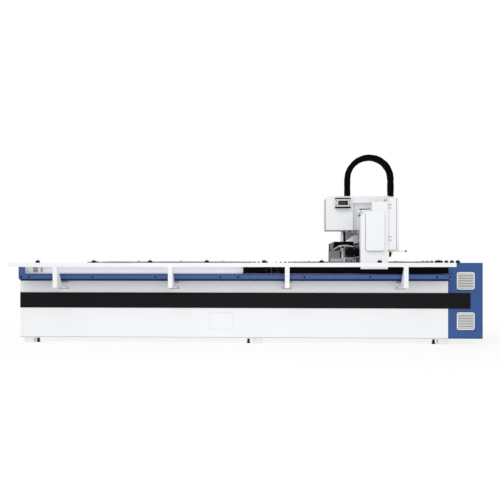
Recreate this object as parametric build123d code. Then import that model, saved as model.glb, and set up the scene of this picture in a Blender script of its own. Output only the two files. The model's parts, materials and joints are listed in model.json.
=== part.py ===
from build123d import *

import math
import os

os.makedirs("parts", exist_ok=True)

# Open-bed fibre laser cutting machine, in millimetres.
# X runs along the bed, Y across it from the front side to the rear, Z is up, and the floor is Z = 0.
# The front and rear sides mirror each other about Y = 0.

# Overall plan
bed_length = 4406.0
cabinet_length = 346.0
drawer_proud = 33.0
wall_half_width = 860.0
bed_bottom = 52.0
wall_top = 790.0
sheet = 3.0

# Welded bed frame
side_frame_depth = 100.0
top_tube_height = 130.0
bottom_tube_height = 80.0
upright_width = 70.0
upright_bays = 10
cross_tube_bottom = 560.0
cross_tube_top = 660.0
cross_tube_length = 80.0
cross_frame_count = 4
corner_return = 35.0

# Black trim band on both sides
band_bottom = 364.0
band_height = 159.0
band_thickness = 5.0
band_on_cabinet = 223.0

# Access hatch in the front wall
hatch_width = 239.0
hatch_height = 175.0
hatch_centre_from_left = 2098.0
hatch_bottom = 141.0
hatch_gap = 1.0
hatch_corner = 14.0

# Electrical cabinet at the right end
cabinet_top = 829.0
cabinet_bottom = 60.0
cabinet_wall = 4.0
cabinet_post = 40.0
door_gap = 3.0
door_thickness = 20.0
latch_width = 28.0
latch_height = 130.0
latch_depth = 12.0
latch_inset = 70.0
latch_gap = 4.0
latch_back_gap = 0.5
latch_lead = 16.0
latch_toe = 4.0
latch_pivot_radius = 5.5
grille_width = 183.0
grille_height = 177.0
grille_frame = 14.0
grille_proud = 9.0
grille_low_z = 150.0
grille_high_z = 558.0
grille_from_cabinet_left = 87.0
louvre_count = 6
louvre_thickness = 3.0
louvre_edge_gap = 2.0
louvre_inset = 1.5
fan_radius = 68.0
fan_hub_radius = 24.0
fan_blades = 5
fan_thickness = 22.0
fan_shaft_radius = 5.0
fan_frame_margin = 22.0
fan_front_gap = 10.0
fan_rear_depth = 14.0
fan_tip_gap = 4.0
fan_strut = 16.0
fan_strut_depth = 6.0
fan_blade_thickness = 3.0
fan_blade_width = 30.0
fan_blade_pitch = 35.0
fan_hub_floor = 3.0
running_clearance = 0.05

# Laser source and motor drives inside the cabinet
laser_height = 260.0
laser_half_width = 300.0
laser_bottom = 90.0
laser_side_gap = 20.0
laser_door_gap = 60.0
handle_reach = 28.0
handle_height = 120.0
handle_bar = 14.0
drive_panel_bottom = 380.0
drive_panel_half = 560.0
drive_panel_thickness = 6.0
drive_module_count = 4
drive_module_width = 90.0
drive_module_depth = 160.0
drive_module_margin = 60.0
drive_panel_top_gap = 40.0

# Chain shelf along each side
shelf_outer = 1030.0
shelf_bottom = 647.0
shelf_top = 716.0
shelf_left_gap = 45.0
shelf_right_gap = 6.0
shelf_chamfer = 24.0
shelf_end_height = 75.0
shelf_end_width = 58.0
shelf_lip = 40.0

# Feeding rail on its brackets, with ball transfer units
rail_outer = 1175.0
rail_width = 60.0
rail_bottom = 788.0
rail_height = 41.0
rail_wall = 3.0
bracket_width = 44.0
bracket_bottom = 582.0
bracket_arm_height = 46.0
bracket_gusset_depth = 150.0
bracket_plate = 6.0
bracket_web_top = 14.0
bracket_first = 466.0
bracket_last = 481.0
bracket_count = 4
ball_radius = 13.0
ball_seat_radius = 24.0
ball_seat_height = 22.0
ball_rise = 14.0
ball_taper = 25.0
facet_count = 8
ball_first = 284.0
ball_last = 167.0
ball_count = 8
end_ball_margin = 60.0
end_ball_from_right = 232.0

# Linear rails and racks on the side frames
x_rail_centre = 785.0
x_rail_width = 28.0
x_rail_height = 26.0
x_rail_waist = 5.0
x_rail_start = 560.0
x_rack_inner = 826.0
x_rack_width = 18.0
x_rack_height = 22.0

# Slats, their combs and the decks at both ends
slat_pitch = 100.0
slat_margin = 122.0
slat_thickness = 4.0
slat_first = 672.0
slat_half_length = 735.0
slat_bottom = 745.0
slat_top = 845.0
slat_teeth = 5
slat_tooth_depth = 22.0
comb_centre = 700.0
comb_thickness = 8.0
comb_bottom = 690.0
comb_top = 800.0
comb_slot_clearance = 0.3
slats_per_comb = 8
comb_joint_gap = 1.0
deck_thickness = 5.0

# Slag hopper and the drawer under it
hopper_top = 552.0
hopper_bottom = 225.0
hopper_mouth_half = 330.0
hopper_gap = 4.0
drawer_length = 2000.0
drawer_half_width = 345.0
drawer_bottom = 14.0
drawer_height = 186.0
drawer_wall = 4.0
drawer_clearance = 6.0
drawer_grip_width = 160.0
drawer_grip_height = 30.0
drawer_grip_drop = 30.0
runner_width = 20.0
runner_bottom = 120.0
runner_height = 40.0
runner_end_gap = 100.0

# Feet
foot_left = 91.0
foot_right = 48.0
foot_middle = 269.0
foot_length = 96.0
foot_depth = 90.0
foot_centre = 805.0
bolt_offset = (83.0, -92.0, -86.0)
bolt_radius = 19.0
bolt_stem_radius = 9.0
bolt_pad_height = 14.0

# Gantry
gantry_from_right = 899.0
end_cover_width = 272.0
end_cover_outer = 1000.0
end_cover_inner = 884.0
end_cover_bottom = 766.0
end_cover_skirt = 792.0
end_cover_top = 1440.0
end_cover_step = 114.0
end_cover_step_z = 1345.0
end_cover_chamfer = 49.0
bulge_left = 49.0
bulge_width = 182.0
bulge_bottom = 948.0
bulge_top = 1334.0
bulge_depth = 35.0
bulge_corner = 24.0
cover_motor_gap = 6.0
foot_plate_bottom = 837.5
foot_plate_top = 884.0
foot_plate_left = 146.0
foot_plate_inner = 745.0
foot_plate_outer = 925.0
pedestal_outer = 820.0
pedestal_shoulder = 60.0
foot_ledge_inset = 80.0
shaft_hole_gap = 3.0
beam_left = 33.0
beam_bottom = 1060.0
beam_top = 1370.0
beam_end_gap = 14.0
beam_wall = 12.0
x_block_length = 110.0
x_block_width = 70.0
x_block_lift = 5.0
x_block_offset = (0.0, 163.0)
rail_running_gap = 0.3
drive_size = 98.0
drive_inset = 6.0
drive_height = 102.0
drive_neck = 14.0
drive_neck_inset = 4.0
pinion_lift = 2.0
shaft_end_gap = 0.5
drive_centre = 872.0
drive_motor_length = 190.0
drive_motor_size = 84.0
pinion_radius = 27.5
pinion_teeth = 18
pinion_height = 18.0
pinion_shaft_radius = 11.0
rack_mesh_gap = 0.5
guard_height = 67.0
guard_drop = 15.0
guard_thickness = 4.0
tow_arm_width = 40.0
cover_post_size = 50.0
tow_arm_inset = 8.0
tow_arm_thickness = 12.0

# Cross-axis rails, rack and the tall chain housing behind the beam
y_rail_size = 20.0
y_rail_low = 1150.0
y_rail_high = 1330.0
y_rack_from_left = 82.0
y_rack_size = 20.0
housing_left = 288.0
housing_width = 97.0
housing_bottom = 956.0
housing_top = 1479.0
housing_inset = 25.0
end_cap_left = 274.0
end_cap_width = 82.0
end_cap_thickness = 12.0
housing_spacer_margin = 140.0
housing_spacer_height = 70.0
switch_width = 34.0
switch_height = 70.0
switch_thickness = 16.0
switch_inset = 10.0
switch_shoulder = 22.0
switch_toe = 17.0
pin_inset = 9.0
pin_radius = 4.0
pin_length = 12.0
lever_length = 140.0
lever_radius = 4.0
lever_roller_radius = 13.0
lever_thickness = 8.0
lever_hub_radius = 9.0
lever_gap = 2.0

# Energy chains
x_chain_height = 36.0
x_chain_width = 66.0
x_chain_start = 129.0
x_chain_bend_margin = 72.0
chain_pitch = 58.0
chain_wall = 8.0
x_chain_bend_links = 4
y_chain_bend_links = 12
x_chain_inner = 874.0
x_chain_bend_radius = 40.0
x_chain_return = 600.0
chain_clearance = 4.0
y_chain_height = 45.0
y_chain_width = 64.0
y_chain_bend_radius = 220.0
y_chain_bend_margin = 260.0
arch_radius = 226.0
arch_height = 58.0
arch_width = 76.0
arch_leg_links = 3
arch_leg_pitch = 63.0
arch_arc_links = 12
arch_centre_x = 135.0
link_plate = 7.0
link_bar = 5.0
link_bar_length = 26.0
link_overlap = 16.0
link_corner = 14.0
link_gap = 0.6

# Carriage
carriage_y = -620.0
carriage_half_width = 80.0
carriage_plate_thickness = 25.0
carriage_bottom = 1127.0
block_gap = 8.0
y_block_height = 60.0
y_block_length = 62.0
y_block_thickness = 30.0
y_block_inset = 4.0
y_block_beam_gap = 6.0
saddle_top = 1447.0
saddle_plate = 12.0
cheek_thickness = 5.0
cheek_bottom = 1170.0
cheek_shoulder = 1393.0
cheek_top = 1446.0
chain_arm_end = 393.0
chain_arm_bottom = 1488.0
chain_arm_thickness = 12.0
chain_arm_inset = 10.0
riser_thickness = 14.0
seat_inset = 30.0
cheek_slope = 40.0
cheek_step = 20.0
pinion_hole_radius = 12.0
cover_left = -328.0
cover_box_width = 287.0
cover_bottom = 1165.0
cover_top = 1523.0
cover_half_width = 104.0
cover_roof_end = 328.0
cover_roof_bottom = 1450.0
cover_corner = 26.0
cover_housing_gap = 6.0
panel_box_width = 158.0
panel_box_height = 100.0
panel_box_depth = 48.0
panel_box_left = 99.0
panel_box_bottom = 1399.0
window_margin = 28.0
window_left = 34.0
window_depth = 6.0
y_drive_size = 62.0
y_drive_inset = 3.0
y_drive_neck = 10.0
y_motor_length = 118.0
y_pinion_radius = 17.0
y_pinion_height = 15.0
y_pinion_shaft = 8.0
y_pinion_lift = 3.0

# Height axis and the cutting head
head_from_gantry = -140.0
z_plate_width = 110.0
z_plate_thickness = 14.0
z_rail_size = 15.0
z_plate_bottom = 1100.0
z_plate_top = 1336.0
z_base_thickness = 18.0
z_base_top = 1450.0
z_base_lift = 10.0
z_nut_half = 22.0
z_nut_front = 20.0
z_nut_bottom = 1300.0
z_nut_height = 34.0
z_bracket_bottom = 1440.0
z_bracket_height = 10.0
z_screw_radius = 8.0
z_screw_bottom = 1296.0
z_screw_inset = 26.0
z_motor_size = 70.0
z_motor_height = 60.0
head_radius = 30.0
neck_radius = 25.0
head_base_radius = 18.0
head_cone_height = 30.0
neck_chamfer = 12.0
lens_half_width = 20.0
lens_proud = 10.0
head_bottom = 985.0
head_top = 1190.0
nozzle_radius = 11.5
nozzle_tip_radius = 3.0
nozzle_tip_height = 22.0
nozzle_collar_height = 14.0
nozzle_collar_step = 4.0
nozzle_tip_z = 853.0
lens_drawer_bottom = 1064.0
lens_drawer_height = 34.0
clamp_bottom = 1104.0
clamp_top = 1150.0
shroud_left = -280.0
shroud_right = -33.0
shroud_bottom = 955.0
shroud_arch_rise = 45.0
shroud_top = 1051.0
shroud_half_depth = 70.0
shroud_wall = 4.0
shroud_toe = 26.0
shroud_haunch = 96.0
shroud_crown = 170.0
shroud_crown_rise = 6.0
shroud_end_drop = 8.0
shroud_chamfer_x = 44.0
shroud_chamfer_z = 22.0

# Places along X that follow from the plan
bed_left = drawer_proud - (bed_length + cabinet_length + drawer_proud) / 2
bed_right = bed_left + bed_length
right_end = bed_right + cabinet_length
gantry_left = bed_right - gantry_from_right
gantry_right = gantry_left + end_cover_width
beam_half_length = end_cover_inner - beam_end_gap
housing_half_length = end_cover_outer - housing_inset
y_chain_bend_y = housing_half_length - y_chain_bend_margin
beam_x0 = gantry_left + beam_left
beam_x1 = gantry_right
head_axis_x = gantry_left + head_from_gantry
slat_x0 = bed_left + slat_first
slat_count = int((bed_length - slat_first - slat_margin) / slat_pitch) + 1
slat_x1 = slat_x0 + (slat_count - 1) * slat_pitch
frame_outer = wall_half_width - sheet
frame_inner = frame_outer - side_frame_depth


def block(x0, x1, y0, y1, z0, z1):
    """A box between two corners."""
    centre = Pos((x0 + x1) / 2, (y0 + y1) / 2, (z0 + z1) / 2)
    return centre * Box(x1 - x0, y1 - y0, z1 - z0)


def prism_y(points, y0, y1):
    """A profile in the XZ plane, carried from y0 to y1."""
    outline = Polyline([(x, y0, z) for x, z in points], close=True)
    return extrude(make_face(outline), amount=y1 - y0, dir=(0, 1, 0))


def prism_x(points, x0, x1):
    """A profile in the YZ plane, carried from x0 to x1."""
    outline = Polyline([(x0, y, z) for y, z in points], close=True)
    return extrude(make_face(outline), amount=x1 - x0, dir=(1, 0, 0))


def rod(radius, start, direction, length):
    """A round bar from a start point along a direction."""
    plane = Plane(origin=start, z_dir=direction)
    return extrude(plane * Circle(radius), amount=length)


def turned(points, x, y):
    """A turned piece on a vertical axis, from radius and height pairs."""
    outline = Polyline([(x + r, y, z) for r, z in points], close=True)
    axis = Axis((x, y, 0), (0, 0, 1))
    return revolve(make_face(outline), axis=axis)


def facetted(radius, x, y, z0, z1):
    """A small round piece on a vertical axis, as a prism with few sides."""
    return extrude(Pos(x, y, z0) * RegularPolygon(radius, facet_count), amount=z1 - z0)


def rear(shape):
    """The same piece on the rear side."""
    return mirror(shape, about=Plane.XZ)


def write(node, *shapes):
    """Writes one node, as one solid or as a group of separate solids."""
    solids = [solid for shape in shapes for solid in shape.solids()]
    group = solids[0] if len(solids) == 1 else Compound(children=solids)
    export_step(group, f"parts/{node}.step")


# Bed frame and walls


def side_frame():
    """Front longitudinal frame: a top and a bottom tube with uprights between them."""
    y0 = -frame_outer
    y1 = -frame_inner
    x0 = bed_left + sheet
    low = bed_bottom + bottom_tube_height
    high = wall_top - top_tube_height
    bay = (bed_right - x0 - upright_width) / upright_bays
    members = [block(x0, bed_right, y0, y1, bed_bottom, low), block(x0, bed_right, y0, y1, high, wall_top)]
    for i in range(upright_bays + 1):
        left = x0 + i * bay
        members.append(block(left, left + upright_width, y0, y1, low, high))
    return members


def cross_frames():
    """Cross tubes between the side frames, clear above the drawer at the left."""
    tubes = []
    first = bed_left + sheet + upright_width
    step = (bed_right - cross_tube_length - first) / (cross_frame_count - 1)
    for i in range(cross_frame_count):
        x0 = first + i * step
        tube = block(x0, x0 + cross_tube_length, -frame_inner, frame_inner, cross_tube_bottom, cross_tube_top)
        tubes.append(tube)
    return tubes


def drawer_runners():
    """Guide bars for the drawer, welded to the end sheet on both sides of its opening."""
    bars = []
    for side in (-1, 1):
        near = side * (drawer_half_width + rail_running_gap)
        far = side * (drawer_half_width + runner_width)
        x0 = bed_left + sheet
        x1 = x0 + drawer_length - runner_end_gap
        z1 = runner_bottom + runner_height
        bars.append(block(x0, x1, min(near, far), max(near, far), runner_bottom, z1))
    return bars


def rounded_opening(x0, x1, z0, z1, corner, y0, y1):
    """A bar with rounded long edges, for a hatch or the hole it closes."""
    plane = Plane(origin=((x0 + x1) / 2, y0, (z0 + z1) / 2), x_dir=(1, 0, 0), z_dir=(0, -1, 0))
    face = plane * RectangleRounded(x1 - x0, z1 - z0, corner)
    return extrude(face, amount=y0 - y1)


hatch_x0 = bed_left + hatch_centre_from_left - hatch_width / 2
hatch_x1 = hatch_x0 + hatch_width
hatch_z1 = hatch_bottom + hatch_height


def side_panel():
    """Front wall sheet, with its lower and upper edges folded inwards."""
    y0 = -wall_half_width
    return block(bed_left + corner_return, bed_right, y0, y0 + sheet, bed_bottom, wall_top)


def front_panel():
    """Front wall sheet with the hole for the access hatch."""
    hole = rounded_opening(
        hatch_x0 - hatch_gap,
        hatch_x1 + hatch_gap,
        hatch_bottom - hatch_gap,
        hatch_z1 + hatch_gap,
        hatch_corner + hatch_gap,
        -wall_half_width + sheet + 1,
        -wall_half_width - 1,
    )
    return side_panel() - hole


def access_hatch():
    """Round-cornered hatch plate, flush in the front wall."""
    return rounded_opening(
        hatch_x0, hatch_x1, hatch_bottom, hatch_z1, hatch_corner, -wall_half_width + sheet, -wall_half_width
    )


def left_end_panel():
    """End sheet wrapped round both corners, cut out for the slag drawer."""
    w = wall_half_width
    shape = block(bed_left, bed_left + corner_return, -w, w, bed_bottom, wall_top)
    shape -= block(bed_left + sheet, bed_left + corner_return + 1, -w + sheet, w - sheet, 0, wall_top + 1)
    opening = drawer_half_width + drawer_clearance
    opening_top = drawer_bottom + drawer_height + drawer_clearance
    shape -= block(bed_left - 1, bed_left + sheet + 1, -opening, opening, bed_bottom - 1, opening_top)
    return shape


def band():
    """Black trim band, carried on across the cabinet wall, with a softened outer edge."""
    y0 = -wall_half_width - band_thickness
    x1 = bed_right + band_on_cabinet
    return block(bed_left, x1, y0, -wall_half_width, band_bottom, band_bottom + band_height)


# Cabinet


def grille_places():
    """Corners of the two louvre grilles in a cabinet side wall."""
    x0 = bed_right + grille_from_cabinet_left
    return [(x0, grille_low_z), (x0, grille_high_z)]


def cabinet_shell():
    """Cabinet housing of welded sheets, open at the door end, with a post at each side for the doors."""
    w = wall_half_width
    t = cabinet_wall
    x0 = bed_right
    z0 = cabinet_bottom + t
    z1 = cabinet_top - t
    back = block(x0, x0 + t, -w + t, w - t, z0, z1)
    roof = block(x0, right_end, -w, w, z1, cabinet_top)
    base = block(x0, right_end, -w, w, cabinet_bottom, z0)
    side = block(x0, right_end, -w, -w + t, z0, z1)
    inset = grille_frame / 2
    for left, low in grille_places():
        right = left + grille_width - inset
        high = low + grille_height - inset
        side -= block(left + inset, right, -w - 1, -w + t + 1, low + inset, high)
    door_left = right_end - door_thickness
    post = block(door_left - t, door_left, -w + t, -w + cabinet_post, z0, z1)
    return [back, roof, base, side, rear(side), post, rear(post)]


def grille(x0, z0):
    """Framed grille: a raised frame round a bank of sloping louvres, clear of the frame's bars."""
    y0 = -wall_half_width - grille_proud
    y1 = -wall_half_width
    x1 = x0 + grille_width
    z1 = z0 + grille_height
    f = grille_frame
    shape = block(x0, x1, y0, y1, z0, z1)
    shape -= block(x0 + f, x1 - f, y0 - 1, y1 + 1, z0 + f, z1 - f)
    pitch = (grille_height - 2 * f) / louvre_count
    for i in range(louvre_count):
        z = z0 + f + louvre_edge_gap + i * pitch
        low = z + louvre_thickness
        high = z + pitch - 2 * louvre_edge_gap
        back = y1 - louvre_inset
        edge_y = y0 + louvre_inset
        blade = [(edge_y, z), (edge_y, low), (back, high), (back, high - louvre_thickness)]
        shape += prism_x(blade, x0 + f - 0.5, x1 - f + 0.5)
    return shape


def door():
    """Front cabinet door, inset in the end of the housing, with a recess for its latch."""
    y0 = -wall_half_width + cabinet_wall + door_gap
    y1 = -door_gap / 2
    z0 = cabinet_bottom + cabinet_wall + door_gap
    z1 = cabinet_top - cabinet_wall - door_gap
    x0 = right_end - door_thickness
    shape = block(x0, right_end, y0, y1, z0, z1)
    ly = y1 - latch_inset
    lz = (z0 + z1) / 2
    half_w = latch_width / 2 + latch_gap
    half_h = latch_height / 2 + latch_gap
    shape -= block(right_end - latch_depth, right_end + 1, ly - half_w, ly + half_w, lz - half_h, lz + half_h)
    return shape


def latch():
    """Flush lift latch for the front door: a tapered paddle, pivoted at its top end."""
    ly = -door_gap / 2 - latch_inset
    lz = (cabinet_bottom + cabinet_top) / 2
    half_w = latch_width / 2
    x1 = right_end
    x0 = right_end - latch_depth + latch_back_gap
    z0 = lz - latch_height / 2
    z1 = lz + latch_height / 2
    r = latch_pivot_radius
    profile = [
        (x0, z0),
        (x1 - latch_toe, z0),
        (x1, z0 + latch_lead),
        (x1, z1 - 1.3 * r),
        (x1 - 0.5 * r, z1),
        (x1 - 1.2 * r, z1),
        (x0, z1 - 1.5 * r),
    ]
    return prism_y(profile, ly - half_w, ly + half_w)


def fan_centre():
    """Centre of the fan behind the lower front grille."""
    x0 = bed_right + grille_from_cabinet_left
    return (x0 + grille_width / 2, grille_low_z + grille_height / 2)


fan_back = -wall_half_width + cabinet_wall


def fan_frame():
    """Square fan housing behind the grille, with the spindle on its rear cross strut."""
    cx, cz = fan_centre()
    half = fan_radius + fan_frame_margin
    y0 = fan_back
    y1 = fan_back + fan_front_gap + fan_thickness + fan_rear_depth
    shape = block(cx - half, cx + half, y0, y1, cz - half, cz + half)
    shape -= rod(fan_radius + fan_tip_gap, (cx, y0 - 1, cz), (0, 1, 0), y1 - y0 + 2)
    strut = fan_strut / 2
    shape += block(cx - half, cx + half, y1 - fan_strut_depth, y1, cz - strut, cz + strut)
    tip = fan_back + fan_front_gap + 2 * fan_hub_floor + 1
    middle = y1 - fan_strut_depth / 2
    shape += rod(fan_shaft_radius, (cx, middle, cz), (0, -1, 0), middle - tip)
    return shape


def fan_rotor():
    """Fan rotor: a hub with five pitched blades."""
    cx, cz = fan_centre()
    y0 = fan_back + fan_front_gap
    shape = rod(fan_hub_radius, (cx, y0, cz), (0, 1, 0), fan_thickness)
    for i in range(fan_blades):
        angle = i * 360 / fan_blades
        root = fan_hub_radius - 2 * fan_blade_thickness
        blade = Box(fan_radius - root, fan_blade_thickness, fan_blade_width)
        placed = Pos((root + fan_radius) / 2, 0, 0) * Rot(fan_blade_pitch, 0, 0) * blade
        shape += Pos(cx, y0 + fan_thickness / 2, cz) * Rot(0, angle, 0) * placed
    bore = rod(fan_shaft_radius + running_clearance, (cx, y0 + fan_hub_floor, cz), (0, 1, 0), fan_thickness)
    return shape - bore


def laser_source():
    """Rack-mounted laser source on the cabinet floor, with two front handles."""
    x0 = bed_right + cabinet_wall + laser_side_gap
    x1 = right_end - door_thickness - laser_door_gap
    w = laser_half_width
    shape = block(x0, x1, -w, w, laser_bottom, laser_bottom + laser_height)
    middle = laser_bottom + laser_height / 2
    half = handle_height / 2
    for y in (-w + 2 * handle_bar, w - 3 * handle_bar):
        side = y + handle_bar
        shape += block(x0, x1, y, side, cabinet_bottom + cabinet_wall, laser_bottom)
        bow = block(x1, x1 + handle_reach, y, side, middle - half, middle + half)
        inner = half - handle_bar
        bow -= block(x1 - 1, x1 + handle_reach - handle_bar, y - 1, side + 1, middle - inner, middle + inner)
        shape += bow
    return shape


def drive_panel():
    """Mounting plate on the cabinet's back wall, with its row of motor drives."""
    x0 = bed_right + cabinet_wall
    z1 = cabinet_top - cabinet_wall - drive_panel_top_gap
    x1 = x0 + drive_panel_thickness
    panel = block(x0, x1, -drive_panel_half, drive_panel_half, drive_panel_bottom, z1)
    pitch = 2 * drive_panel_half / (drive_module_count + 1)
    low = drive_panel_bottom + drive_module_margin
    high = z1 - drive_module_margin
    modules = []
    for i in range(drive_module_count):
        y = -drive_panel_half + (i + 1) * pitch
        half = drive_module_width / 2
        modules.append(block(x1, x1 + drive_module_depth, y - half, y + half, low, high))
    return [panel, *modules]


# Shelf, feeding rail and ball units


def shelf():
    """Front chain shelf: a fascia with chamfered ends, the tread and lip behind it, and its left upright."""
    x0 = bed_left + shelf_left_gap
    x1 = bed_right - shelf_right_gap
    c = shelf_chamfer
    y0 = -shelf_outer
    t = sheet
    face = [
        (x0, shelf_top),
        (x0, shelf_bottom + c),
        (x0 + c, shelf_bottom),
        (x1 - c, shelf_bottom),
        (x1, shelf_bottom + c),
        (x1, shelf_top),
    ]
    y1 = y0 + t
    wall = -wall_half_width
    fascia = prism_y(face, y0, y1)
    tread = block(x0, x1, y1, wall, shelf_top - t, shelf_top)
    lip = block(x0 + c, x1 - c, y1, y0 + shelf_lip, shelf_bottom, shelf_bottom + t)
    end_top = shelf_top + shelf_end_height
    end_front = block(x0, x0 + shelf_end_width, y0, y1, shelf_top, end_top)
    end_side = block(x0, x0 + t, y1, wall, shelf_top, end_top)
    return [fascia, tread, lip, end_front, end_side]


def bracket_centres():
    """Places of the brackets along the bed."""
    pitch = (bed_length - bracket_first - bracket_last) / (bracket_count - 1)
    return [bed_left + bracket_first + i * pitch for i in range(bracket_count)]


def brackets():
    """Front rail brackets: a post plate, two tapered webs and an arm back to the wall."""
    shapes = []
    arm_top = bracket_bottom + bracket_arm_height
    y0 = -rail_outer
    back = y0 + bracket_gusset_depth
    web = [
        (y0, rail_bottom),
        (y0, bracket_bottom),
        (back, bracket_bottom),
        (back, arm_top),
        (y0 + bracket_web_top, rail_bottom),
    ]
    for x in bracket_centres():
        x0 = x - bracket_width / 2
        x1 = x + bracket_width / 2
        shape = block(x0, x1, y0, y0 + bracket_plate, bracket_bottom, rail_bottom)
        shape += prism_x(web, x0, x0 + bracket_plate)
        shape += prism_x(web, x1 - bracket_plate, x1)
        shape += block(x0, x1, y0, -wall_half_width, bracket_bottom, bracket_bottom + bracket_plate)
        shape += block(x0, x1, back - bracket_plate, -wall_half_width, bracket_bottom, arm_top)
        shape += block(x0, x1, y0, y0 + rail_width, rail_bottom - bracket_plate, rail_bottom)
        shapes.append(shape)
    return shapes


def feed_rail():
    """Front feeding rail: a rectangular tube welded onto its brackets."""
    x0 = bed_left
    y0 = -rail_outer
    shape = block(x0, bed_right, y0, y0 + rail_width, rail_bottom, rail_bottom + rail_height)
    t = rail_wall
    z0 = rail_bottom + t
    z1 = rail_bottom + rail_height - t
    shape -= block(x0 - 1, bed_right + 1, y0 + t, y0 + rail_width - t, z0, z1)
    for bracket in brackets():
        shape += bracket
    return shape


def ball_unit(x, y, base):
    """Ball transfer unit: a steel seat with its ball standing out of the top."""
    seat_top = base + ball_seat_height
    seat = facetted(ball_seat_radius, x, y, base, seat_top)
    outline = Pos(x, y, seat_top) * RegularPolygon(ball_radius, facet_count)
    ball = extrude(outline, amount=ball_rise, taper=ball_taper)
    return seat + ball


def ball_units():
    """All the ball units: a row on each feeding rail."""
    y = rail_outer - rail_width / 2
    base = rail_bottom + rail_height
    units = []
    pitch = (bed_length - ball_first - ball_last) / (ball_count - 1)
    for i in range(ball_count):
        x = bed_left + ball_first + i * pitch
        units.append(ball_unit(x, -y, base))
        units.append(ball_unit(x, y, base))
    return units


def end_ball_units():
    """The row of ball units across the cabinet's top."""
    half = (ball_count - 1) / 2
    x = right_end - end_ball_from_right
    places = [(i - half) / half * (wall_half_width - end_ball_margin) for i in range(ball_count)]
    return [ball_unit(x, y, cabinet_top) for y in places]


# Linear guides, slats and slag handling


def x_rail():
    """Front long rail: a waisted guide rail."""
    x0 = bed_left + x_rail_start
    h = x_rail_height
    w = x_rail_width / 2
    yc = -x_rail_centre
    z = wall_top
    half = [(w, 0), (w, h * 0.4), (w - x_rail_waist, h * 0.55), (w, h * 0.8), (w, h)]
    points = [(yc + a, z + b) for a, b in half] + [(yc - a, z + b) for a, b in reversed(half)]
    return prism_x(points, x0, bed_right)


def x_rack():
    """Front gear rack beside the rail, its toothed side facing outwards."""
    x0 = bed_left + x_rail_start
    y0 = -x_rack_inner - x_rack_width
    return block(x0, bed_right, y0, -x_rack_inner, wall_top, wall_top + x_rack_height)


def slat(x):
    """One support slat with a toothed top edge."""
    pitch = 2 * slat_half_length / slat_teeth
    points = [(-slat_half_length, slat_bottom), (slat_half_length, slat_bottom)]
    for i in range(slat_teeth):
        right = slat_half_length - i * pitch
        points.append((right, slat_top - slat_tooth_depth))
        points.append((right - pitch / 2, slat_top))
    points.append((-slat_half_length, slat_top - slat_tooth_depth))
    return prism_x(points, x - slat_thickness / 2, x + slat_thickness / 2)


def slats():
    """The whole bank of slats."""
    return [slat(slat_x0 + i * slat_pitch) for i in range(slat_count)]


def combs(side):
    """Slotted bars that hold the slat ends, end to end along one side, each on a ledge from the frame."""
    half = slat_thickness / 2 + comb_slot_clearance
    face = side * (comb_centre - comb_thickness / 2)
    back = side * (comb_centre + comb_thickness / 2)
    ledge = sorted((face, side * frame_inner))
    bars = []
    for first in range(0, slat_count, slats_per_comb):
        last = min(first + slats_per_comb, slat_count) - 1
        x0 = slat_x0 + (first - 0.5) * slat_pitch + comb_joint_gap / 2
        x1 = slat_x0 + (last + 0.5) * slat_pitch - comb_joint_gap / 2
        points = [(x0, comb_bottom), (x1, comb_bottom), (x1, comb_top)]
        for i in reversed(range(first, last + 1)):
            x = slat_x0 + i * slat_pitch
            points.append((x + half, comb_top))
            points.append((x + half, slat_bottom))
            points.append((x - half, slat_bottom))
            points.append((x - half, comb_top))
        points.append((x0, comb_top))
        bars.append(prism_y(points, min(face, back), max(face, back)))
        bars.append(block(x0, x1, ledge[0], ledge[1], comb_bottom - sheet, comb_bottom))
    return bars


def end_decks():
    """Plain deck plates that close the bed beyond both ends of the slats."""
    left_edge = slat_x0 - slat_pitch / 2 - 1
    right_edge = slat_x1 + slat_pitch / 2 + 1
    y = frame_inner
    z0 = wall_top
    left = block(bed_left + sheet, left_edge, -y, y, z0, z0 + deck_thickness)
    right = block(right_edge, bed_right, -y, y, z0, z0 + deck_thickness)
    return [left, right]


def hopper():
    """Slag hopper: two long slopes and an end slope that lead down to the drawer."""
    x0 = bed_left + sheet + upright_width + cross_tube_length + hopper_gap
    x1 = slat_x1 + slat_pitch / 2
    outer = frame_inner
    inner = hopper_mouth_half
    t = sheet
    low = hopper_bottom
    high = hopper_top - hopper_gap / 2
    front = [(-outer, high), (-inner, low), (-inner, low + t), (-outer, high + t)]
    back = [(outer, high), (inner, low), (inner, low + t), (outer, high + t)]
    mouth_end = bed_left + drawer_length - drawer_clearance
    ramp = [(mouth_end, low), (x1, high), (x1, high + t), (mouth_end, low + t)]
    slope = prism_y(ramp, -outer, outer)
    over = high + (high - low)
    trough = [
        (-outer, high + t),
        (-inner, low + t),
        (inner, low + t),
        (outer, high + t),
        (outer, over),
        (-outer, over),
    ]
    return [prism_x(front, x0, x1), prism_x(back, x0, x1), slope & prism_x(trough, x0, x1)]


def drawer():
    """Slag drawer: an open tray whose front closes the left end, with a grip slot."""
    x0 = bed_left - drawer_proud
    x1 = x0 + drawer_length
    w = drawer_half_width
    t = drawer_wall
    z0 = drawer_bottom
    z1 = z0 + drawer_height
    shape = block(x0, x1, -w, w, z0, z1)
    shape -= block(x0 + drawer_proud, x1 - t, -w + t, w - t, z0 + t, z1 + 1)
    g = drawer_grip_width / 2
    grip_z = z1 - drawer_grip_drop - drawer_grip_height
    shape -= block(x0 - 1, x0 + drawer_proud - t, -g, g, grip_z, grip_z + drawer_grip_height)
    return shape


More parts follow.
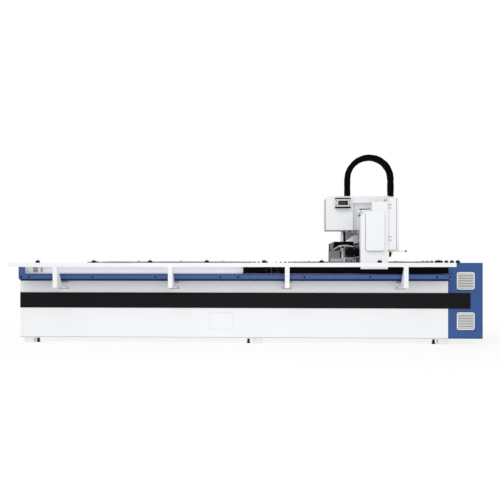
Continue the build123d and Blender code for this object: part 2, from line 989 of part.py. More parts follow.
def feet():
    """Foot blocks and levelling bolts under both side frames."""
    shapes = []
    for side in (-1, 1):
        y = side * foot_centre
        middle = (bed_left + bed_right) / 2 + foot_middle
        places = (bed_left + foot_left, middle, bed_right - foot_right)
        for xc, offset in zip(places, bolt_offset):
            half = foot_length / 2
            d = foot_depth / 2
            shapes.append(block(xc - half, xc + half, y - d, y + d, 0, bed_bottom))
            pad = facetted(bolt_radius, xc + offset, y, 0, bolt_pad_height)
            stem = facetted(bolt_stem_radius, xc + offset, y, bolt_pad_height, bed_bottom)
            shapes.append(pad + stem)
    return shapes


# Energy chains


def wedge_link(radius, height, width, angle, wall):
    """One link of a bend about the Y axis, tapered so that it meets its neighbours."""
    gap = math.degrees(link_gap / radius)
    half = math.radians((angle - gap) / 2)
    top = radius + height / 2
    low = radius - height / 2
    cosine = math.cos(half)
    sine = math.sin(half)
    corners = [
        (-low * sine, low * cosine),
        (low * sine, low * cosine),
        (top * sine, top * cosine),
        (-top * sine, top * cosine),
    ]
    shape = prism_y(corners, -width / 2, width / 2)
    middle = radius * cosine
    inner = Pos(0, 0, middle) * Box(2 * top * sine + 2, width - 2 * wall, height - 2 * wall)
    return shape - inner


def arch_link(length, outer):
    """One link, its length along X: two side plates with cut corners and two crossbars between them."""
    reach = length / 2 + link_overlap
    h = arch_height / 2
    c = link_corner
    profile = [(-reach, -h + c), (-reach + c, -h), (reach - c, -h), (reach, -h + c)]
    profile += [(reach, h - c), (reach - c, h), (-reach + c, h), (-reach, h - c)]
    edge = arch_width / 2 - (0 if outer else link_plate + link_gap)
    link = block(-link_bar_length / 2, link_bar_length / 2, -edge, edge, h - link_bar, h)
    link += block(-link_bar_length / 2, link_bar_length / 2, -edge, edge, -h, -h + link_bar)
    link += prism_y(profile, -edge, -edge + link_plate)
    link += prism_y(profile, edge - link_plate, edge)
    return link


def arch_chain():
    """The arched chain over the gantry: two straight legs joined by a half turn of links."""
    angle = 180 / arch_arc_links
    chord = 2 * arch_radius * math.sin(math.radians(angle / 2))
    xc = gantry_left + arch_centre_x
    zc = cover_top + arch_leg_links * arch_leg_pitch
    places = []
    for i in range(arch_leg_links):
        places.append((-arch_radius, (i + 0.5 - arch_leg_links) * arch_leg_pitch, -90, arch_leg_pitch))
    for i in range(arch_arc_links):
        turn = -90 + (i + 0.5) * angle
        middle = arch_radius * math.cos(math.radians(angle / 2))
        along = math.radians(turn)
        places.append((middle * math.sin(along), middle * math.cos(along), turn, chord))
    for i in range(arch_leg_links):
        places.append((arch_radius, (-0.5 - i) * arch_leg_pitch, 90, arch_leg_pitch))
    links = []
    last = len(places) - 1
    for i, (x, z, turn, length) in enumerate(places):
        link = Pos(xc + x, carriage_y, zc + z) * Rot(0, turn, 0) * arch_link(length, i % 2 == 0)
        if i in (0, last):
            reach = arch_radius + arch_height
            link &= block(xc - reach, xc + reach, y_low, y_high, cover_top, zc)
        links.append(link)
    return links


def x_chain():
    """Long-axis chain, on its side on the shelf: fixed run, bend and the run to the gantry."""
    h = x_chain_height
    w = x_chain_width
    r = x_chain_bend_radius
    z = shelf_top + chain_clearance + w / 2
    start = (bed_left + bed_right) / 2 + x_chain_start
    bend = bed_right - x_chain_bend_margin
    inner = -x_chain_inner - h / 2
    outer = inner - 2 * r
    links = []
    count = round((bend - start) / chain_pitch)
    pitch = (bend - start) / count
    runs = [(outer, i) for i in range(count)] + [(inner, i) for i in range(int(x_chain_return / pitch))]
    for y, i in runs:
        x0 = bend - (i + 1) * pitch
        links.append(block(x0, x0 + pitch - link_gap, y - h / 2, y + h / 2, z - w / 2, z + w / 2))
    angle = 180 / x_chain_bend_links
    for i in range(x_chain_bend_links):
        link = wedge_link(r, h, w, angle, chain_wall)
        turn = Rot(0, 0, (i + 0.5) * angle - 180) * Rot(-90, 0, 0)
        links.append(Pos(bend, (inner + outer) / 2, z) * turn * link)
    return links


def y_chain():
    """Cross-axis chain, upright in its housing: fixed run, bend and the run to the carriage."""
    h = y_chain_height
    w = y_chain_width
    r = y_chain_bend_radius
    pitch = chain_pitch
    x = gantry_left + housing_left + housing_width / 2
    z0 = housing_bottom + sheet + h / 2
    bend = -y_chain_bend_y
    links = []
    runs = [(z0, i) for i in range(int(y_chain_bend_y / pitch))] + [(z0 + 2 * r, 0)]
    for z, i in runs:
        y0 = bend + i * pitch
        links.append(block(x - w / 2, x + w / 2, y0, y0 + pitch - link_gap, z - h / 2, z + h / 2))
    angle = 180 / y_chain_bend_links
    for i in range(y_chain_bend_links):
        link = wedge_link(r, h, w, angle, chain_wall)
        turn = (i + 0.5) * angle
        links.append(Pos(x, bend, z0 + r) * Rot(turn, 0, 0) * Rot(0, 0, 90) * link)
    return links


# Gantry


def gantry_foot():
    """Front end of the gantry frame: the foot casting and the pedestal under the beam."""
    x0 = gantry_left - foot_plate_left
    y0 = -foot_plate_outer
    y1 = -foot_plate_inner
    shape = block(x0, beam_x1, y0 + foot_ledge_inset, y1, foot_plate_bottom, foot_plate_top)
    shape += block(x0, x0 + drive_size + 2 * drive_inset, y0, y1, foot_plate_bottom, foot_plate_top)
    pedestal = [
        (gantry_left, foot_plate_top),
        (beam_x1, foot_plate_top),
        (beam_x1, beam_bottom),
        (beam_x0, beam_bottom),
        (beam_x0, beam_bottom - pedestal_shoulder),
    ]
    shape += prism_y(pedestal, -pedestal_outer, -foot_plate_inner)
    start = (x0 + drive_size / 2 + drive_inset, -drive_centre, foot_plate_bottom - 1)
    depth = foot_plate_top - foot_plate_bottom + 2
    return shape - rod(pinion_shaft_radius + shaft_hole_gap, start, (0, 0, 1), depth)


def cover_posts():
    """Two posts on the beam's front end that carry the end cover."""
    middle = (beam_x0 + beam_x1) / 2
    half = cover_post_size / 2
    y0 = -end_cover_outer + sheet
    posts = None
    for z in (beam_bottom + cover_post_size, beam_top - cover_post_size):
        post = block(middle - half, middle + half, y0, -beam_half_length, z - half, z + half)
        posts = post if posts is None else posts + post
    return posts


def tow_arm():
    """Arm from the front foot down to the moving end of the long-axis chain."""
    x1 = beam_x1 - tow_arm_inset
    x0 = x1 - tow_arm_width
    y0 = -x_chain_inner - x_chain_height
    top = foot_plate_bottom + tow_arm_thickness
    chain_top = shelf_top + chain_clearance + x_chain_width
    shape = block(x0, x1, y0, -foot_plate_outer + foot_ledge_inset + tow_arm_inset, foot_plate_bottom, top)
    return shape + block(x0, x1, y0, -x_chain_inner, chain_top + rail_running_gap, top)


def gantry_frame():
    """Welded gantry: a hollow box beam on two pedestals, with a guard strip along its lower edge."""
    half = beam_half_length
    t = beam_wall
    shape = block(beam_x0, beam_x1, -half, half, beam_bottom, beam_top)
    shape -= block(beam_x0 + t, beam_x1 - t, -half + t, half - t, beam_bottom + t, beam_top - t)
    foot = gantry_foot()
    shape += foot
    shape += rear(foot)
    shape += cover_posts()
    shape += rear(cover_posts())
    return shape + tow_arm()


def beam_guard():
    """Light strip along the beam's lower left edge."""
    x0 = beam_x0 - guard_thickness
    z0 = beam_bottom - guard_drop
    return block(x0, beam_x0, -beam_half_length, beam_half_length, z0, z0 + guard_height)


def x_blocks():
    """Guide blocks that ride the front long rail."""
    shapes = []
    top = foot_plate_bottom
    z0 = wall_top + x_block_lift
    for offset in x_block_offset:
        x0 = gantry_left + offset
        x1 = x0 + x_block_length
        half = x_block_width / 2
        shape = block(x0, x1, -x_rail_centre - half, -x_rail_centre + half, z0, top)
        gap = x_rail_width / 2 + rail_running_gap
        groove_top = wall_top + x_rail_height + rail_running_gap
        shape -= block(x0 - 1, x1 + 1, -x_rail_centre - gap, -x_rail_centre + gap, z0 - 1, groove_top)
        shapes.append(shape)
    return shapes


drive_x0 = gantry_left - foot_plate_left
pinion_x = drive_x0 + drive_size / 2 + drive_inset
pinion_z0 = wall_top + (x_rack_height - pinion_height) / 2 + pinion_lift


def x_drive():
    """Front right-angle gearbox with its motor lying along the foot."""
    y = -drive_centre
    half = drive_size / 2
    z0 = foot_plate_top
    x0 = drive_x0 + drive_inset
    shape = block(x0, x0 + drive_size, y - half, y + half, z0, z0 + drive_height)
    zc = z0 + drive_height / 2
    m = drive_motor_size / 2
    motor_x0 = x0 + drive_size
    shape += rod(m - drive_neck_inset, (motor_x0, y, zc), (1, 0, 0), drive_neck)
    shape += block(motor_x0 + drive_neck, motor_x0 + drive_motor_length, y - m, y + m, zc - m, zc + m)
    return shape


def x_pinion():
    """Front pinion with its shaft up into the gearbox."""
    y = -drive_centre
    z1 = pinion_z0 + pinion_height
    outline = Pos(pinion_x, y, pinion_z0) * RegularPolygon(pinion_radius, pinion_teeth)
    shape = extrude(outline, amount=pinion_height)
    return shape + facetted(pinion_shaft_radius, pinion_x, y, z1, foot_plate_top - shaft_end_gap)


def cover_outline():
    """Front outline of the gantry end cover, in X and Z."""
    x0 = gantry_left
    x1 = gantry_right
    c = end_cover_chamfer
    return [
        (x0, end_cover_bottom),
        (x1, end_cover_bottom),
        (x1, end_cover_top),
        (x0 + end_cover_step, end_cover_top),
        (x0 + end_cover_step, end_cover_step_z),
        (x0 + c, end_cover_step_z),
        (x0, end_cover_step_z - c),
    ]


def end_cover():
    """Front end cover: a folded shell with a raised oblong bulge, notched round the motor."""
    y0 = -end_cover_outer
    y1 = -end_cover_inner
    t = sheet
    shape = prism_y(cover_outline(), y0, y1)
    x0 = gantry_left + t
    x1 = gantry_right - t
    c = end_cover_chamfer
    step_x = gantry_left + end_cover_step + t
    inner = [
        (x0, end_cover_bottom - 1),
        (x1, end_cover_bottom - 1),
        (x1, end_cover_top - t),
        (step_x, end_cover_top - t),
        (step_x, end_cover_step_z - t),
        (x0 + c, end_cover_step_z - t),
        (x0, end_cover_step_z - c),
    ]
    shape -= prism_y(inner, y0 + t, y1 + 1)
    shape -= block(gantry_left - 1, gantry_right + 1, y0 + t, y1 + 1, end_cover_bottom - 1, end_cover_skirt)
    motor_edge = -drive_centre - drive_motor_size / 2 - cover_motor_gap
    motor_top = foot_plate_top + drive_height + cover_motor_gap
    shape -= block(gantry_left - 1, x0 + 1, motor_edge, y1 + 1, end_cover_skirt - 1, motor_top)
    bulge = bulge_solid(0)
    return shape + bulge


def bulge_solid(inset):
    """Raised oblong with rounded lower corners on the cover's outer face."""
    x0 = gantry_left + bulge_left + inset
    x1 = x0 + bulge_width - 2 * inset
    y1 = -end_cover_outer
    body = block(x0, x1, y1 - bulge_depth, y1, bulge_bottom + inset, bulge_top)
    edges = body.edges().filter_by(Axis.Y).sort_by(Axis.Z)[:2]
    return fillet(edges, bulge_corner)


def y_rails():
    """Two guide rails along the beam's left face."""
    x0 = beam_x0 - y_rail_size
    half = beam_half_length
    shapes = []
    for z in (y_rail_low, y_rail_high):
        h = y_rail_size / 2
        shapes.append(block(x0, beam_x0, -half, half, z - h, z + h))
    return shapes


def y_rack():
    """Gear rack along the beam's top."""
    x0 = beam_x0 + y_rack_from_left
    half = beam_half_length
    return block(x0, x0 + y_rack_size, -half, half, beam_top, beam_top + y_rack_size)


housing_x0 = gantry_left + housing_left
housing_x1 = housing_x0 + housing_width


def chain_housing():
    """Tall channel behind the beam for the cross-axis chain, open along its top."""
    half = housing_half_length
    t = sheet
    shape = block(housing_x0, housing_x1, -half, half, housing_bottom, housing_top)
    shape -= block(housing_x0 + t, housing_x1 - t, -half - 1, half + 1, housing_bottom + t, housing_top + 1)
    spacer = half - housing_spacer_margin
    for z in (beam_top - housing_spacer_height, beam_bottom):
        shape += block(beam_x1, housing_x0 + t, -spacer, spacer, z, z + housing_spacer_height)
    return shape


def end_cap():
    """Front end cap of the chain housing."""
    x0 = gantry_left + end_cap_left
    y1 = -housing_half_length
    return block(x0, x0 + end_cap_width, y1 - end_cap_thickness, y1, housing_bottom, housing_top)


switch_x0 = gantry_left + end_cap_left + switch_inset
lever_pivot_x = switch_x0 + switch_width - pin_inset
lever_pivot_z = housing_bottom - pin_inset - lever_gap


def limit_switch():
    """Limit switch: a wedge-shaped body on a tab under the end cap, with its pivot pin."""
    y1 = -housing_half_length
    y0 = y1 - switch_thickness
    z1 = housing_bottom
    w = switch_width
    outline = [
        (switch_x0, z1),
        (switch_x0 + w, z1),
        (switch_x0 + w, z1 - switch_shoulder),
        (switch_x0 + w - switch_toe, z1 - switch_height),
        (switch_x0, z1 - switch_height),
    ]
    shape = prism_y(outline, y0, y1)
    return shape + rod(pin_radius, (lever_pivot_x, y0, lever_pivot_z), (0, -1, 0), pin_length)


def switch_lever():
    """Roller lever on the switch's pivot pin."""
    t = lever_thickness
    y1 = -housing_half_length - switch_thickness - rail_running_gap
    x = lever_pivot_x
    z = lever_pivot_z
    shape = rod(lever_hub_radius, (x, y1, z), (0, -1, 0), t)
    shape += block(x, x + lever_length, y1 - t, y1, z - lever_radius, z + lever_radius)
    shape += rod(lever_roller_radius, (x + lever_length, y1, z), (0, -1, 0), t)
    return shape - rod(pin_radius + running_clearance, (x, y1 + 1, z), (0, -1, 0), t + 2)


# Carriage

carriage_x1 = beam_x0 - y_rail_size - 2
z_face_x = carriage_x1 - carriage_plate_thickness - block_gap
y_low = carriage_y - carriage_half_width
y_high = carriage_y + carriage_half_width


def saddle():
    """Carriage: a plate before the beam, a top plate over it, two bent cheeks and the chain arm."""
    shape = block(z_face_x, carriage_x1 - block_gap, y_low, y_high, carriage_bottom, saddle_top)
    top_x1 = gantry_left + chain_arm_end
    shape += block(z_face_x, beam_x1, y_low, y_high, saddle_top - saddle_plate, saddle_top)
    hole_start = (y_pinion_x, carriage_y, saddle_top - saddle_plate - 1)
    shape -= rod(pinion_hole_radius, hole_start, (0, 0, 1), saddle_plate + 2)
    z0 = chain_arm_bottom
    z1 = z0 + chain_arm_thickness
    low = y_low + chain_arm_inset
    high = y_high - chain_arm_inset
    riser = block(beam_x1 - riser_thickness, beam_x1, low, high, saddle_top - saddle_plate, z1)
    arm = block(beam_x1 - riser_thickness, top_x1, low, high, z0, z1)
    seat_x0 = gantry_left + cover_roof_end + 2
    seat = block(seat_x0, top_x1, y_low + seat_inset, y_high - seat_inset, z1, cover_top)
    shape += riser + arm + seat
    cheek_x0 = gantry_left + cover_left + cover_box_width
    cheek = [
        (cheek_x0, cheek_bottom),
        (carriage_x1 - block_gap, cheek_bottom),
        (carriage_x1 - block_gap, cheek_shoulder - cheek_slope),
        (carriage_x1 + cheek_step, cheek_shoulder),
        (beam_x1, cheek_shoulder),
        (beam_x1, cheek_top),
        (cheek_x0, cheek_top),
    ]
    shape += prism_y(cheek, y_low - cheek_thickness, y_low)
    shape += prism_y(cheek, y_high, y_high + cheek_thickness)
    return shape


def y_blocks():
    """Four guide blocks between the carriage plate and the beam's rails."""
    shapes = []
    x0 = carriage_x1 - block_gap
    gap = y_rail_size / 2 + rail_running_gap
    rail_face = beam_x0 - y_rail_size - rail_running_gap
    for z in (y_rail_low, y_rail_high):
        for y in (y_low + y_block_inset, y_high - y_block_inset - y_block_length):
            half = y_block_height / 2
            shape = block(x0, beam_x0 - y_block_beam_gap, y, y + y_block_length, z - half, z + half)
            shape -= block(rail_face, beam_x0, y - 1, y + y_block_length + 1, z - gap, z + gap)
            shapes.append(shape)
    return shapes


y_pinion_x = beam_x0 + y_rack_from_left - y_pinion_radius - rack_mesh_gap


def y_drive():
    """Right-angle gearbox and motor of the cross axis, flat on the saddle's top plate."""
    z0 = saddle_top
    half = y_drive_size / 2
    x0 = y_pinion_x - half
    shape = block(x0, x0 + y_drive_size, carriage_y - half, carriage_y + half, z0, z0 + y_drive_size)
    zc = z0 + y_drive_size / 2
    m = half - y_drive_inset
    mx = x0 + y_drive_size
    shape += rod(m - drive_neck_inset, (mx, carriage_y, zc), (1, 0, 0), y_drive_neck)
    shape += block(mx + y_drive_neck, mx + y_motor_length, carriage_y - m, carriage_y + m, zc - m, zc + m)
    return shape


def y_pinion():
    """Cross-axis pinion and its shaft."""
    z0 = beam_top + y_pinion_lift
    shape = facetted(y_pinion_radius, y_pinion_x, carriage_y, z0, z0 + y_pinion_height)
    shaft_z0 = z0 + y_pinion_height
    return shape + facetted(y_pinion_shaft, y_pinion_x, carriage_y, shaft_z0, saddle_top - shaft_end_gap)


def head_cover():
    """Carriage cover: a tall box round the height axis and a roof over the beam, open below."""
    w = cover_half_width
    t = sheet
    x0 = gantry_left + cover_left
    x1 = x0 + cover_box_width
    roof_end = gantry_left + cover_roof_end
    lip_x = housing_x0 - cover_housing_gap
    lip_z = housing_top + cover_housing_gap
    outline = [
        (x0, cover_bottom),
        (x1, cover_bottom),
        (x1, cover_roof_bottom),
        (lip_x, cover_roof_bottom),
        (lip_x, lip_z),
        (roof_end, lip_z),
        (roof_end, cover_top),
        (x0 + cover_corner, cover_top),
        (x0, cover_top - cover_corner),
    ]
    inner = [
        (x0 + t, cover_bottom - 1),
        (roof_end + 1, cover_bottom - 1),
        (roof_end + 1, cover_top - t),
        (x0 + cover_corner + 1, cover_top - t),
        (x0 + t, cover_top - cover_corner - 1),
    ]
    yc = carriage_y
    return prism_y(outline, yc - w, yc + w) - prism_y(inner, yc - w + t, yc + w - t)


def indicator_box():
    """Small indicator box on the cover's front face, with a recessed window."""
    x0 = gantry_left + cover_left + panel_box_left
    x1 = x0 + panel_box_width
    y1 = carriage_y - cover_half_width
    y0 = y1 - panel_box_depth
    z0 = panel_box_bottom
    z1 = z0 + panel_box_height
    shape = block(x0, x1, y0, y1, z0, z1)
    m = window_margin
    return shape - block(x0 + window_left, x1 - m, y0 - 1, y0 + window_depth, z0 + m, z1 - m)


# Height axis

def z_base():
    """Fixed base of the height axis: a backing plate with two guide rails."""
    w = z_plate_width / 2
    x1 = z_face_x
    x0 = x1 - z_base_thickness
    shape = block(x0, x1, carriage_y - w, carriage_y + w, carriage_bottom + z_base_lift, z_base_top)
    for side in (-1, 1):
        y = carriage_y + side * (w - z_rail_size)
        half = z_rail_size / 2
        z0 = carriage_bottom + 2 * z_base_lift
        shape += block(x0 - z_rail_size, x0, y - half, y + half, z0, z_bracket_bottom)
    return shape


def z_motor():
    """Height-axis motor on its bracket, with the screw's bearing below."""
    x = z_screw_x
    half = z_motor_size / 2
    z0 = z_bracket_bottom
    z1 = z0 + z_bracket_height
    shape = block(x - half, z_face_x - z_base_thickness, carriage_y - half, carriage_y + half, z0, z1)
    shape += block(x - half, x + half, carriage_y - half, carriage_y + half, z1, z1 + z_motor_height)
    bore = z_screw_radius + running_clearance
    return shape - rod(bore, (x, carriage_y, z0 - 1), (0, 0, 1), z_bracket_height)


z_plate_x1 = z_face_x - z_base_thickness - z_rail_size - 1
z_plate_x0 = z_plate_x1 - z_plate_thickness
z_screw_x = z_plate_x0 - z_screw_inset


def z_screw():
    """Ball screw of the height axis, hung from the motor bracket."""
    top = z_bracket_bottom + z_bracket_height / 2
    return rod(z_screw_radius, (z_screw_x, carriage_y, z_screw_bottom), (0, 0, 1), top - z_screw_bottom)


def z_plate():
    """Moving plate of the height axis, with the nut on the screw."""
    w = z_plate_width / 2
    shape = block(z_plate_x0, z_plate_x1, carriage_y - w, carriage_y + w, z_plate_bottom, z_plate_top)
    z0 = z_nut_bottom
    half = z_nut_half
    nut_x = z_screw_x - z_nut_front
    shape += block(nut_x, z_plate_x0, carriage_y - half, carriage_y + half, z0, z0 + z_nut_height)
    radius = z_screw_radius + running_clearance
    bore = rod(radius, (z_screw_x, carriage_y, z0 - 1), (0, 0, 1), z_nut_height + 2)
    return shape - bore


def cutting_head():
    """Cutting head: the stepped body, its clamp to the moving plate and the lens drawer."""
    x = head_axis_x
    y = carriage_y
    r = head_radius
    body = turned(
        [
            (0, head_bottom),
            (head_base_radius, head_bottom),
            (r, head_bottom + head_cone_height),
            (r, clamp_top),
            (neck_radius, clamp_top + neck_chamfer),
            (neck_radius, head_top),
            (0, head_top),
        ],
        x,
        y,
    )
    clamp = block(x, z_plate_x0, y - r, y + r, clamp_bottom, clamp_top)
    half = lens_half_width
    lens_top = lens_drawer_bottom + lens_drawer_height
    lens = block(x - half, x + half, y - r - lens_proud, y, lens_drawer_bottom, lens_top)
    return body + clamp + lens


def nozzle():
    """Nozzle column under the head, tapering to its tip."""
    r = nozzle_radius
    tip = nozzle_tip_z
    z1 = head_bottom
    collar = r + nozzle_collar_step
    z0 = z1 - nozzle_collar_height
    points = [
        (0, tip),
        (nozzle_tip_radius, tip),
        (r, tip + nozzle_tip_height),
        (r, z0),
        (collar, z0),
        (collar, z1),
        (0, z1),
    ]
    return turned(points, head_axis_x, carriage_y)


def head_shroud():
    """Arched guard round the head: a folded shell, open below and notched to pass the height rails."""
    x0 = gantry_left + shroud_left
    x1 = gantry_left + shroud_right
    d = shroud_half_depth
    t = shroud_wall
    z0 = shroud_bottom
    z1 = shroud_top
    rise = shroud_arch_rise
    cx = shroud_chamfer_x
    cz = shroud_chamfer_z
    outline = [
        (x0, z0),
        (x0 + shroud_toe, z0),
        (x0 + shroud_haunch, z0 + rise),
        (x0 + shroud_crown, z0 + rise + shroud_crown_rise),
        (x1, z0 + rise - shroud_end_drop),
        (x1, z1),
        (x0 + cx, z1),
        (x0, z1 - cz),
    ]
    inner = [
        (x0 + t, z0 - 1),
        (x0 + shroud_toe, z0 - 1),
        (x0 + shroud_haunch, z0 + 1),
        (x1 + 1, z0 + 1),
        (x1 + 1, z1 - t),
        (x0 + cx + 1, z1 - t),
        (x0 + t, z1 - cz - 1),
    ]
    y = carriage_y
    shape = prism_y(outline, y - d, y + d) - prism_y(inner, y - d + t, y + d - t)
    shape -= rod(head_radius, (head_axis_x, y, z1 - t - 1), (0, 0, 1), t + 2)
    return shape - block(z_plate_x0, x1 + 1, y - d + t, y + d - t, z1 - t - 1, z1 + 1)


# Writing the nodes

front_frame = side_frame()
write("front_side_frame", *front_frame)
write("rear_side_frame", *[rear(shape) for shape in front_frame])
write("inner_frames", *cross_frames(), *drawer_runners())
write("front_panel", front_panel())
write("rear_panel", rear(side_panel()))
write("left_end_panel", left_end_panel())
write("access_hatch", access_hatch())
write("side_bands", band(), rear(band()))
write("cabinet_shell", *cabinet_shell())
front_grilles = [grille(x, z) for x, z in grille_places()]
write("cabinet_grilles", *front_grilles, *[rear(shape) for shape in front_grilles])
write("front_door", door())
write("rear_door", rear(door()))
write("front_latch", latch())
write("rear_latch", rear(latch()))
write("fan_frame", fan_frame())
write("fan_rotor", fan_rotor())
write("laser_source", laser_source())
write("drive_panel", *drive_panel())
front_shelf = shelf()
write("front_shelf", *front_shelf)
write("rear_shelf", *[rear(shape) for shape in front_shelf])
front_feed_rail = feed_rail()
write("front_feed_rail", front_feed_rail)
write("rear_feed_rail", rear(front_feed_rail))
write("ball_units", *ball_units(), *end_ball_units())
write("x_rails", x_rail(), rear(x_rail()))
write("x_racks", x_rack(), rear(x_rack()))
write("slats", *slats())
write("slat_combs", *combs(-1), *combs(1))
write("end_decks", *end_decks())
write("slag_hopper", *hopper())
write("slag_drawer", drawer())
write("feet", *feet())
write("x_energy_chain", *x_chain())
write("gantry_frame", gantry_frame())
write("beam_guard", beam_guard())
front_blocks = x_blocks()
write("x_guide_blocks", *front_blocks, *[rear(shape) for shape in front_blocks])
write("x_drives", x_drive(), rear(x_drive()))
write("front_x_pinion", x_pinion())
write("rear_x_pinion", rear(x_pinion()))
front_cover = end_cover()
write("front_end_cover", front_cover)
write("rear_end_cover", rear(front_cover))
write("y_rails", *y_rails())
write("y_rack", y_rack())
write("y_chain_housing", chain_housing())
write("housing_end_caps", end_cap(), rear(end_cap()))
write("y_energy_chain", *y_chain())
write("limit_switch", limit_switch())
write("switch_lever", switch_lever())
write("saddle", saddle())
write("y_guide_blocks", *y_blocks())
write("y_drive", y_drive())
write("y_pinion", y_pinion())
write("head_cover", head_cover())
write("indicator_box", indicator_box())
write("arch_chain", *arch_chain())
write("z_drive", z_base(), z_motor())
write("z_screw", z_screw())
write("z_plate", z_plate())
write("cutting_head", cutting_head())
write("nozzle", nozzle())
write("head_shroud", head_shroud())
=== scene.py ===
import json
import math

import bmesh
import bpy
from mathutils import Matrix, Vector


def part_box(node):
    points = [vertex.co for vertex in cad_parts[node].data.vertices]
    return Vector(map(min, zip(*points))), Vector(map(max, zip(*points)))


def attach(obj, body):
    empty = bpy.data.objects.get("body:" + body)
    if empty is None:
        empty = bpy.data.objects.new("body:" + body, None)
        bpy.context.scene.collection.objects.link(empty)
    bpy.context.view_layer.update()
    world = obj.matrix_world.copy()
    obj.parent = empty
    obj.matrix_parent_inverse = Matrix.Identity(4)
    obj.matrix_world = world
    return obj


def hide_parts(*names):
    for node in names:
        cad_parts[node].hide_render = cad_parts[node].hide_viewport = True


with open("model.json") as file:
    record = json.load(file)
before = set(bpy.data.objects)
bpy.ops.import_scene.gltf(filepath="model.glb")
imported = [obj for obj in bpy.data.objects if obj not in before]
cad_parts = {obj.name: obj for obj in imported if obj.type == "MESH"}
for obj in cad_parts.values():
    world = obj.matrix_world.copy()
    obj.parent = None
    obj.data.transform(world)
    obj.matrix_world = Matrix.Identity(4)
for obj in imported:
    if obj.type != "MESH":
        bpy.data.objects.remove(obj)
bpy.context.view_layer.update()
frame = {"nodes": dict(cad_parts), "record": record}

# Materials

NOISE_MIDDLE = (0.3, 0.7)
BROAD_SCALE = 2.2
PATCH_SCALE = 14.0
GRAIN_STRENGTH = 0.08
GRAIN_DEPTH = 0.0004
EDGE_RADIUS = 0.0012
EDGE_SAMPLES = 3
ROUGHNESS_SPREAD = 0.06
WEAR_RANGE = (0.6, 0.75)
WORN_COLOUR = (0.42, 0.40, 0.37, 1.0)
EVEN = (1.0, 1.0, 1.0)


def tree(name):
    """A new material with its nodes, its shader and its object coordinates."""
    material = bpy.data.materials.new(name)
    material.use_nodes = True
    nodes = material.node_tree.nodes
    shader = nodes["Principled BSDF"]
    place = nodes.new("ShaderNodeTexCoord")
    return material, material.node_tree, shader, place


def noise(node_tree, place, scale, detail, stretch):
    """A noise texture over the object's own coordinates, stretched along its axes."""
    mapping = node_tree.nodes.new("ShaderNodeMapping")
    mapping.inputs["Scale"].default_value = stretch
    node_tree.links.new(place.outputs["Object"], mapping.inputs["Vector"])
    texture = node_tree.nodes.new("ShaderNodeTexNoise")
    texture.inputs["Scale"].default_value = scale
    texture.inputs["Detail"].default_value = detail
    node_tree.links.new(mapping.outputs["Vector"], texture.inputs["Vector"])
    return texture


def ranged(node_tree, source, taken, given):
    """A noise texture's values, carried from one range to another."""
    node = node_tree.nodes.new("ShaderNodeMapRange")
    node.inputs["From Min"].default_value = taken[0]
    node.inputs["From Max"].default_value = taken[1]
    node.inputs["To Min"].default_value = given[0]
    node.inputs["To Max"].default_value = given[1]
    node_tree.links.new(source.outputs["Fac"], node.inputs["Value"])
    return node.outputs["Result"]


def colour_mix(node_tree, share):
    """A mix of two colours by a share that varies over the surface."""
    mix = node_tree.nodes.new("ShaderNodeMix")
    mix.data_type = "RGBA"
    node_tree.links.new(share, mix.inputs["Factor"])
    return mix


def softened_grain(node_tree, shader, grain):
    """Fine grain over edges that catch the light as if rounded."""
    rounding = node_tree.nodes.new("ShaderNodeBevel")
    rounding.samples = EDGE_SAMPLES
    rounding.inputs["Radius"].default_value = EDGE_RADIUS
    relief = node_tree.nodes.new("ShaderNodeBump")
    relief.inputs["Strength"].default_value = GRAIN_STRENGTH
    relief.inputs["Distance"].default_value = GRAIN_DEPTH
    node_tree.links.new(grain.outputs["Fac"], relief.inputs["Height"])
    node_tree.links.new(rounding.outputs["Normal"], relief.inputs["Normal"])
    node_tree.links.new(relief.outputs["Normal"], shader.inputs["Normal"])


def finish_of(name, colour, rough, metal=0.0, vary=0.06, grain=900.0, stretch=EVEN, wear=0.0, shine=0.5):
    """A procedural finish: a slightly uneven colour, uneven roughness, fine grain and softened edges."""
    material, node_tree, shader, place = tree(name)
    links = node_tree.links
    broad = noise(node_tree, place, BROAD_SCALE, 6.0, stretch)
    fine = noise(node_tree, place, grain, 2.0, stretch)
    patches = noise(node_tree, place, PATCH_SCALE, 5.0, stretch)
    top = colour_mix(node_tree, ranged(node_tree, broad, NOISE_MIDDLE, (0.0, 1.0)))
    top.inputs["A"].default_value = (*colour, 1.0)
    top.inputs["B"].default_value = (*[c * (1.0 - vary) for c in colour], 1.0)
    if wear:
        worn = colour_mix(node_tree, ranged(node_tree, patches, WEAR_RANGE, (0.0, wear)))
        worn.inputs["B"].default_value = WORN_COLOUR
        links.new(top.outputs["Result"], worn.inputs["A"])
        top = worn
    links.new(top.outputs["Result"], shader.inputs["Base Color"])
    shader.inputs["Metallic"].default_value = metal
    shader.inputs["Specular IOR Level"].default_value = shine
    rough_range = (rough - ROUGHNESS_SPREAD, rough + ROUGHNESS_SPREAD)
    links.new(ranged(node_tree, patches, NOISE_MIDDLE, rough_range), shader.inputs["Roughness"])
    softened_grain(node_tree, shader, fine)
    return material


